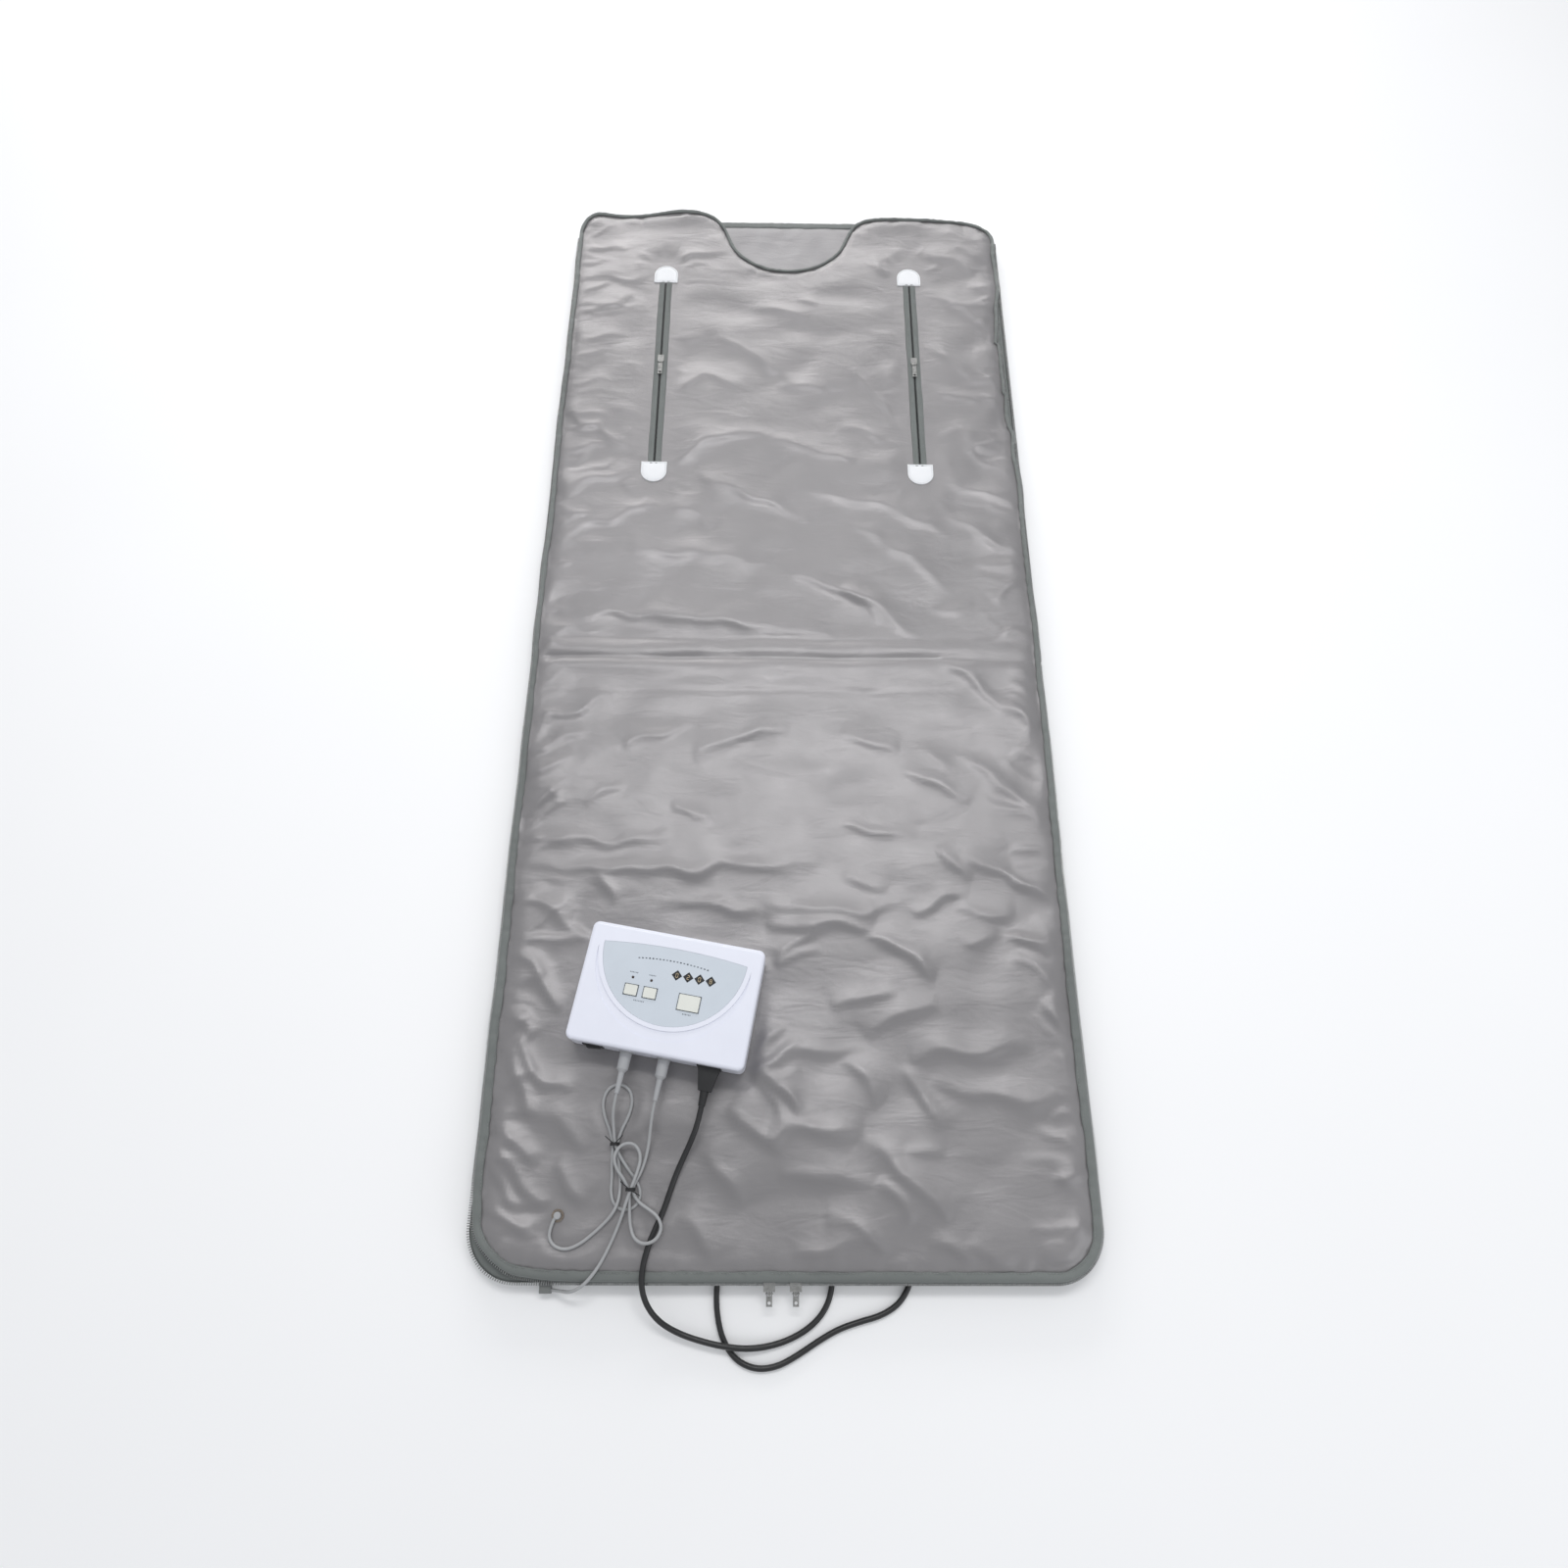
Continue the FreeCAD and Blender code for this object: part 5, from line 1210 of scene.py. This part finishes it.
def make_zips():
    """The main zip: its lower half on the base mat, its upper half on both halves of the cover."""
    sides = np.array([p for p in BASE_LINE if p[1] < ZIP_END])
    turn = np.argmax(np.linalg.norm(np.roll(sides, -1, 0) - sides, axis=1))
    sides = np.roll(sides, -turn - 1, 0)
    zip_tape("base_zip_tape", sides, 0.0150, 0.0160, "blanket")
    line = BASE_LINE + outward(BASE_LINE) * 0.0006
    teeth("base_zip_teeth", line, "zip_teeth", 0.0152, 0.0188, 0.0029, 0.0, 0.0036, body="blanket",
          keep=zipped, slot="zip_metal", replaces=("base_zip",))
    for part, keep, body in (("foot", on_foot_half, "blanket"), ("head", on_head_half, "cover_head")):
        teeth(f"cover_{part}_zip_teeth", line, "zip_teeth", 0.0216, 0.0182, 0.0029, 0.5, 0.0036, body=body,
              keep=keep, placing=placed, slot="zip_metal", replaces=(f"cover_{part}_zip",))
        chosen = sides[keep(sides[:, 0], sides[:, 1])]
        if part == "foot":
            zip_tape("cover_foot_zip_tape", chosen, 0.0208, 0.0217, body, placed)
        else:
            zip_tape("cover_head_zip_tape_left", chosen[chosen[:, 0] < 0], 0.0208, 0.0217, body, placed)
            zip_tape("cover_head_zip_tape_right", chosen[chosen[:, 0] > 0], 0.0208, 0.0217, body, placed)


# ---------------------------------------------------------------- arm openings
def patch_mesh(name, x, y, way, slot):
    """A half-round fabric patch: domed, with a rolled rim, its flat side towards the zip."""
    half, depth = 0.021, 0.040
    flat = depth - half
    outline = [(-half, 0.0), *[(-half + 2 * half * k / 12, 0.0) for k in range(1, 12)], (half, 0.0)]
    outline += [(half, flat * k / 6) for k in range(1, 6)]
    outline += [(half * math.cos(a), flat + half * math.sin(a)) for a in np.linspace(0, math.pi, 25)]
    outline += [(-half, flat * k / 6) for k in range(5, 0, -1)]
    centre = np.array([0.0, depth * 0.47])
    ring = np.array(outline)
    if way < 0:
        ring, centre = ring[::-1] * (1, -1), centre * (1, -1)
    shares = [(1.0, -0.0004), (1.0, 0.0010), (0.985, 0.0015), (0.94, 0.00165), (0.90, 0.00115),
              (0.86, 0.00105), (0.80, 0.0015), (0.55, 0.0019), (0.28, 0.0020)]
    verts, count = [], len(ring)
    for share, high in shares:
        for k, point in enumerate(ring):
            at = centre + (point - centre) * share
            wave = 0.00018 * math.sin(k * 2.3) * (share > 0.7)
            verts.append((x + at[0], y + at[1], CLOTH + high + wave))
    verts.append((x + centre[0], y + centre[1], CLOTH + 0.0020))
    faces = []
    for row in range(len(shares) - 1):
        for k in range(count):
            m = (k + 1) % count
            a, b = row * count, (row + 1) * count
            faces.append((a + k, a + m, b + m, b + k))
    last = (len(shares) - 1) * count
    faces += [(last + k, last + (k + 1) % count, len(verts) - 1) for k in range(count)]
    made = piece(name, verts, faces, "patch_white", body="cover_head", slot=slot,
                 replaces=(name.replace("_cloth", ""),))
    seam = even(np.array([centre + (p - centre) * 0.88 for p in ring]), 0.0026) + (x, y)
    ways = np.roll(seam, -1, 0) - np.roll(seam, 1, 0)
    stitched(name.replace("_cloth", "_seam"), np.c_[seam, np.full(len(seam), CLOTH + 0.0014)],
             np.c_[ways, np.zeros(len(ways))], "thread_white", length=0.0019, radius=0.0003,
             body="cover_head", slot=slot)
    return made


def make_arm_zip(side, sign):
    """An opening's zip: two folded tapes with a coil of teeth along the slit between them."""
    centre = sign * ARM_X
    rows = np.arange(ARM_FOOT - 0.004, ARM_HEAD + 0.0041, 0.003)
    verts, faces = [], []
    profile = [(0.0108, 0.0000), (0.0112, 0.0007), (0.0100, 0.0012), (0.0088, 0.0008), (0.0076, 0.0012),
               (0.0045, 0.0014), (0.0022, 0.0012), (0.0012, 0.0010), (0.0008, 0.0003), (0.0009, -0.0012)]
    for half in (-1, 1):
        first = len(verts)
        for k, y in enumerate(rows):
            lap = 0.00022 * wander(y, 0.010, 200 + half + 3 * sign)
            sway = 0.0006 * wander(y, 0.045, 210 + half + 3 * sign)
            for m, (out, high) in enumerate(profile):
                verts.append((centre + half * (out + sway * (m < 5)), y, CLOTH + high + lap * (m < 6)))
        wide = len(profile)
        for k in range(len(rows) - 1):
            for m in range(wide - 1):
                a = first + k * wide + m
                quad = (a, a + 1, a + wide + 1, a + wide)
                faces.append(quad if half > 0 else quad[::-1])
    piece(f"arm_tape_{side}", verts, [f[::-1] for f in faces], "zip_tape", body="cover_head",
          slot="zip_tape", replaces=(f"arm_zip_{side}",))
    verts, faces = [], []
    for k, y in enumerate(np.arange(ARM_FOOT + 0.002, ARM_HEAD - 0.002, 0.0013)):
        half = 1 if k % 2 else -1
        first = len(verts)
        for dx, dz in ((-0.2, 0.6), (-0.1, 1.25), (1.9, 1.45), (2.7, 1.1), (2.6, 0.6)):
            for dy in (-0.00042, 0.00042):
                verts.append((centre + half * dx / 1000.0, y + dy, CLOTH + dz / 1000.0))
        for m in range(4):
            a = first + 2 * m
            faces.append((a, a + 1, a + 3, a + 2))
        faces.append(tuple(first + i for i in (0, 2, 4, 6, 8)))
        faces.append(tuple(first + i for i in (9, 7, 5, 3, 1)))
    piece(f"arm_coil_{side}", verts, faces, "zip_coil", body="cover_head", slot="zip_tape", smooth=False)
    for half, out in ((-1, 0.0088), (1, 0.0088)):
        ys = np.arange(ARM_FOOT, ARM_HEAD, 0.0036)
        sway = 0.0006 * wander(ys, 0.045, 210 + half + 3 * sign)
        spots = np.c_[centre + half * out + sway, ys, np.full(len(ys), CLOTH + 0.0010)]
        part = "outer" if half > 0 else "inner"
        stitched(f"arm_seam_{side}_{part}", spots, np.tile((0.0, 1.0, 0.0), (len(ys), 1)), "thread_grey",
                  length=0.0025, radius=0.0003, body="cover_head", slot="zip_tape")


def make_arm_openings():
    for side, sign in (("left", -1), ("right", 1)):
        make_arm_zip(side, sign)
        patch_mesh(f"arm_patch_{side}_foot_cloth", sign * ARM_X, ARM_FOOT, -1, "patch_white")
        patch_mesh(f"arm_patch_{side}_head_cloth", sign * ARM_X, ARM_HEAD, 1, "patch_white")


# ---------------------------------------------------------------- controller details
def prisms(name, outlines, low, high, look, slot, body="blanket"):
    """Thin raised shapes in the controller's frame: each outline, from low to high."""
    verts, faces = [], []
    for outline in outlines:
        first, count = len(verts), len(outline)
        for z in (low, high):
            verts += [from_box(x / 1000.0, y / 1000.0, z / 1000.0) for x, y in outline]
        faces.append(tuple(range(first + count, first + 2 * count)))
        faces.append(tuple(range(first, first + count))[::-1])
        for k in range(count):
            m = (k + 1) % count
            faces.append((first + k, first + m, first + count + m, first + count + k))
    return piece(name, verts, faces, look, body=body, slot=slot, smooth=False)


def bar(x, y, wide, deep):
    low, high, left, right = y - deep / 2, y + deep / 2, x - wide / 2, x + wide / 2
    return [(left, low), (right, low), (right, high), (left, high)]


SEGMENTS = {
    "a": (0, 2.7, 1), "b": (1.35, 1.35, 0), "c": (1.35, -1.35, 0), "d": (0, -2.7, 1), "e": (-1.35, -1.35, 0),
    "f": (-1.35, 1.35, 0), "g": (0, 0, 1),
}
SHOWN = ("abcdef", "abged", "abcdef", "abcdefg")


def make_controller_details():
    digits = []
    for place, lit in enumerate(SHOWN):
        x, y = 7.5 + 14.7 * place, 24.8
        for key in lit:
            dx, dy, flat = SEGMENTS[key]
            digits.append(bar(x - dx, y - dy, *((2.1, 0.55) if flat else (0.55, 2.1))))
    prisms("display_digits", digits, 48.88, 48.98, "digit_gold", "digit_black")
    # Dark frames round the three keys: painted shade of the gaps between the keys and the faceplate
    frames = []
    for x, y, wide, deep in ((-46.0, -3.5, 16.0, 13.0), (-21.5, -3.5, 16.0, 13.0), (30.0, -7.0, 27.0, 19.5)):
        for dx, dy, w, d in (
            (0, deep / 2 + 0.75, wide + 2.4, 0.6), (0, -deep / 2 - 0.75, wide + 2.4, 0.6),
            (wide / 2 + 0.95, 0, 0.6, deep + 2.2), (-wide / 2 - 0.95, 0, 0.6, deep + 2.2),
        ):
            frames.append(bar(x + dx, y + dy, w, d))
    prisms("button_gap_shade_frames", frames, 48.75, 48.95, "print_and_gap_shade_grey", "face_blue")
    dashes = []
    draw = np.random.default_rng(11)
    for x, y, count, size in ((-47, 19.0, 6, 1.5), (-23, 19.0, 5, 1.5), (-33, -15.5, 7, 1.6), (30, -21.5, 6, 1.5)):
        for k in range(count):
            tall = draw.uniform(1.1, 1.8)
            dashes.append(bar(x + (k - (count - 1) / 2) * size * 1.25, y, size * 0.62, tall))
    for k in range(21):
        share = (k - 10) / 10
        x = share * 45
        y = 41.5 - 3.2 * share * share
        dashes.append(bar(x, y, 2.3, draw.uniform(1.2, 1.9)))
    prisms("panel_marks", dashes, 48.75, 48.86, "print_and_gap_shade_grey", "face_blue")


# ---------------------------------------------------------------- floor and light
def make_floor():
    floor_look = Shade("floor_pale", (0.94, 0.94, 0.945), 0.6)
    tone = floor_look.noise(1.2, 3.0)
    floor_look.colour(floor_look.tints(tone, (0.3, (0.93, 0.93, 0.935)), (0.7, (0.95, 0.95, 0.955))))
    floor_look.bump(floor_look.noise(240.0, 3.0), 0.00005)
    mesh = bpy.data.meshes.new("floor")
    mesh.from_pydata([(-60, -60, 0), (60, -60, 0), (60, 60, 0), (-60, 60, 0)], [], [(0, 1, 2, 3)])
    floor = bpy.data.objects.new("floor", mesh)
    scene.collection.objects.link(floor)
    mesh.materials.append(floor_look.mat)


def area_light(name, place, target, size, power, colour=(1, 1, 1)):
    data = bpy.data.lights.new(name, "AREA")
    data.shape, data.size, data.size_y = "RECTANGLE", size[0], size[1]
    data.energy, data.color = power, colour
    lamp = bpy.data.objects.new(name, data)
    lamp.location = place
    lamp.rotation_mode = "QUATERNION"
    lamp.rotation_quaternion = (Vector(target) - Vector(place)).to_track_quat("-Z", "Y")
    scene.collection.objects.link(lamp)


def make_light():
    world = bpy.data.worlds.new("studio")
    world.use_nodes = True
    world.node_tree.nodes["Background"].inputs["Color"].default_value = (0.95, 0.97, 1.0, 1.0)
    world.node_tree.nodes["Background"].inputs["Strength"].default_value = 0.66
    scene.world = world
    area_light("key", (-0.4, 3.1, 1.25), (0.0, 0.3, 0.0), (2.8, 0.8), 36.0, (1.0, 0.985, 0.97))
    area_light("top", (0.1, 0.75, 2.7), (0.0, -0.4, 0.0), (2.2, 0.55), 30.0)
    area_light("fill", (2.6, -2.4, 1.8), (0.0, -0.2, 0.0), (1.6, 1.6), 12.0, (0.96, 0.98, 1.0))
    scene.view_settings.view_transform = "Standard"
    scene.view_settings.look = "None"


# ---------------------------------------------------------------- the CAD pieces that stay
KEPT = {
    "controller_tray": "case_white", "controller_lid": "case_white", "controller_faceplate": "face_blue",
    "button_1": "button_cream", "button_2": "button_cream", "button_3": "button_cream",
    "controller_display": "digit_black", "controller_leds": "lamp_dark", "controller_board": "board_green",
    "controller_feet": "rubber_black", "heater_socket_1": "plug_grey", "heater_socket_2": "plug_grey",
    "heater_plug_1": "plug_grey", "heater_plug_2": "plug_grey", "mains_inlet": "plug_black",
    "mains_connector": "plug_black", "rocker_housing": "plug_black", "rocker": "plug_black",
    "mains_plug": "plug_black", "tie_1": "rubber_black", "tie_2": "rubber_black", "eyelet": "eyelet_metal",
    "cover_lead_boot": "plug_grey", "base_lead_boot": "boot_grey", "arm_slider_left": "zip_metal",
    "arm_slider_right": "zip_metal", "arm_pull_left": "zip_metal", "arm_pull_right": "zip_metal",
    "main_slider_left": "zip_metal", "main_slider_right": "zip_metal", "main_pull_left": "zip_metal",
    "main_pull_right": "zip_metal",
}


def finish_kept():
    for name, look in KEPT.items():
        made = nodes[name]
        made.data.materials.clear()
        made.data.materials.append(looks[look].mat)


def make_cords():
    replaced = (
        (lead_1, "lead_grey", "lead_1"), (lead_2, "lead_grey", "lead_2"), (mains_lead, "cord_black", "mains_cord"),
    )
    for cord, look, node in replaced:
        wear(cord, look)
        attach(cord, "blanket")
        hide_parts(node)


make_cover()
make_lining()
make_base()
make_edges()
make_zips()
make_arm_openings()
make_controller_details()
finish_kept()
make_cords()
make_floor()
make_light()
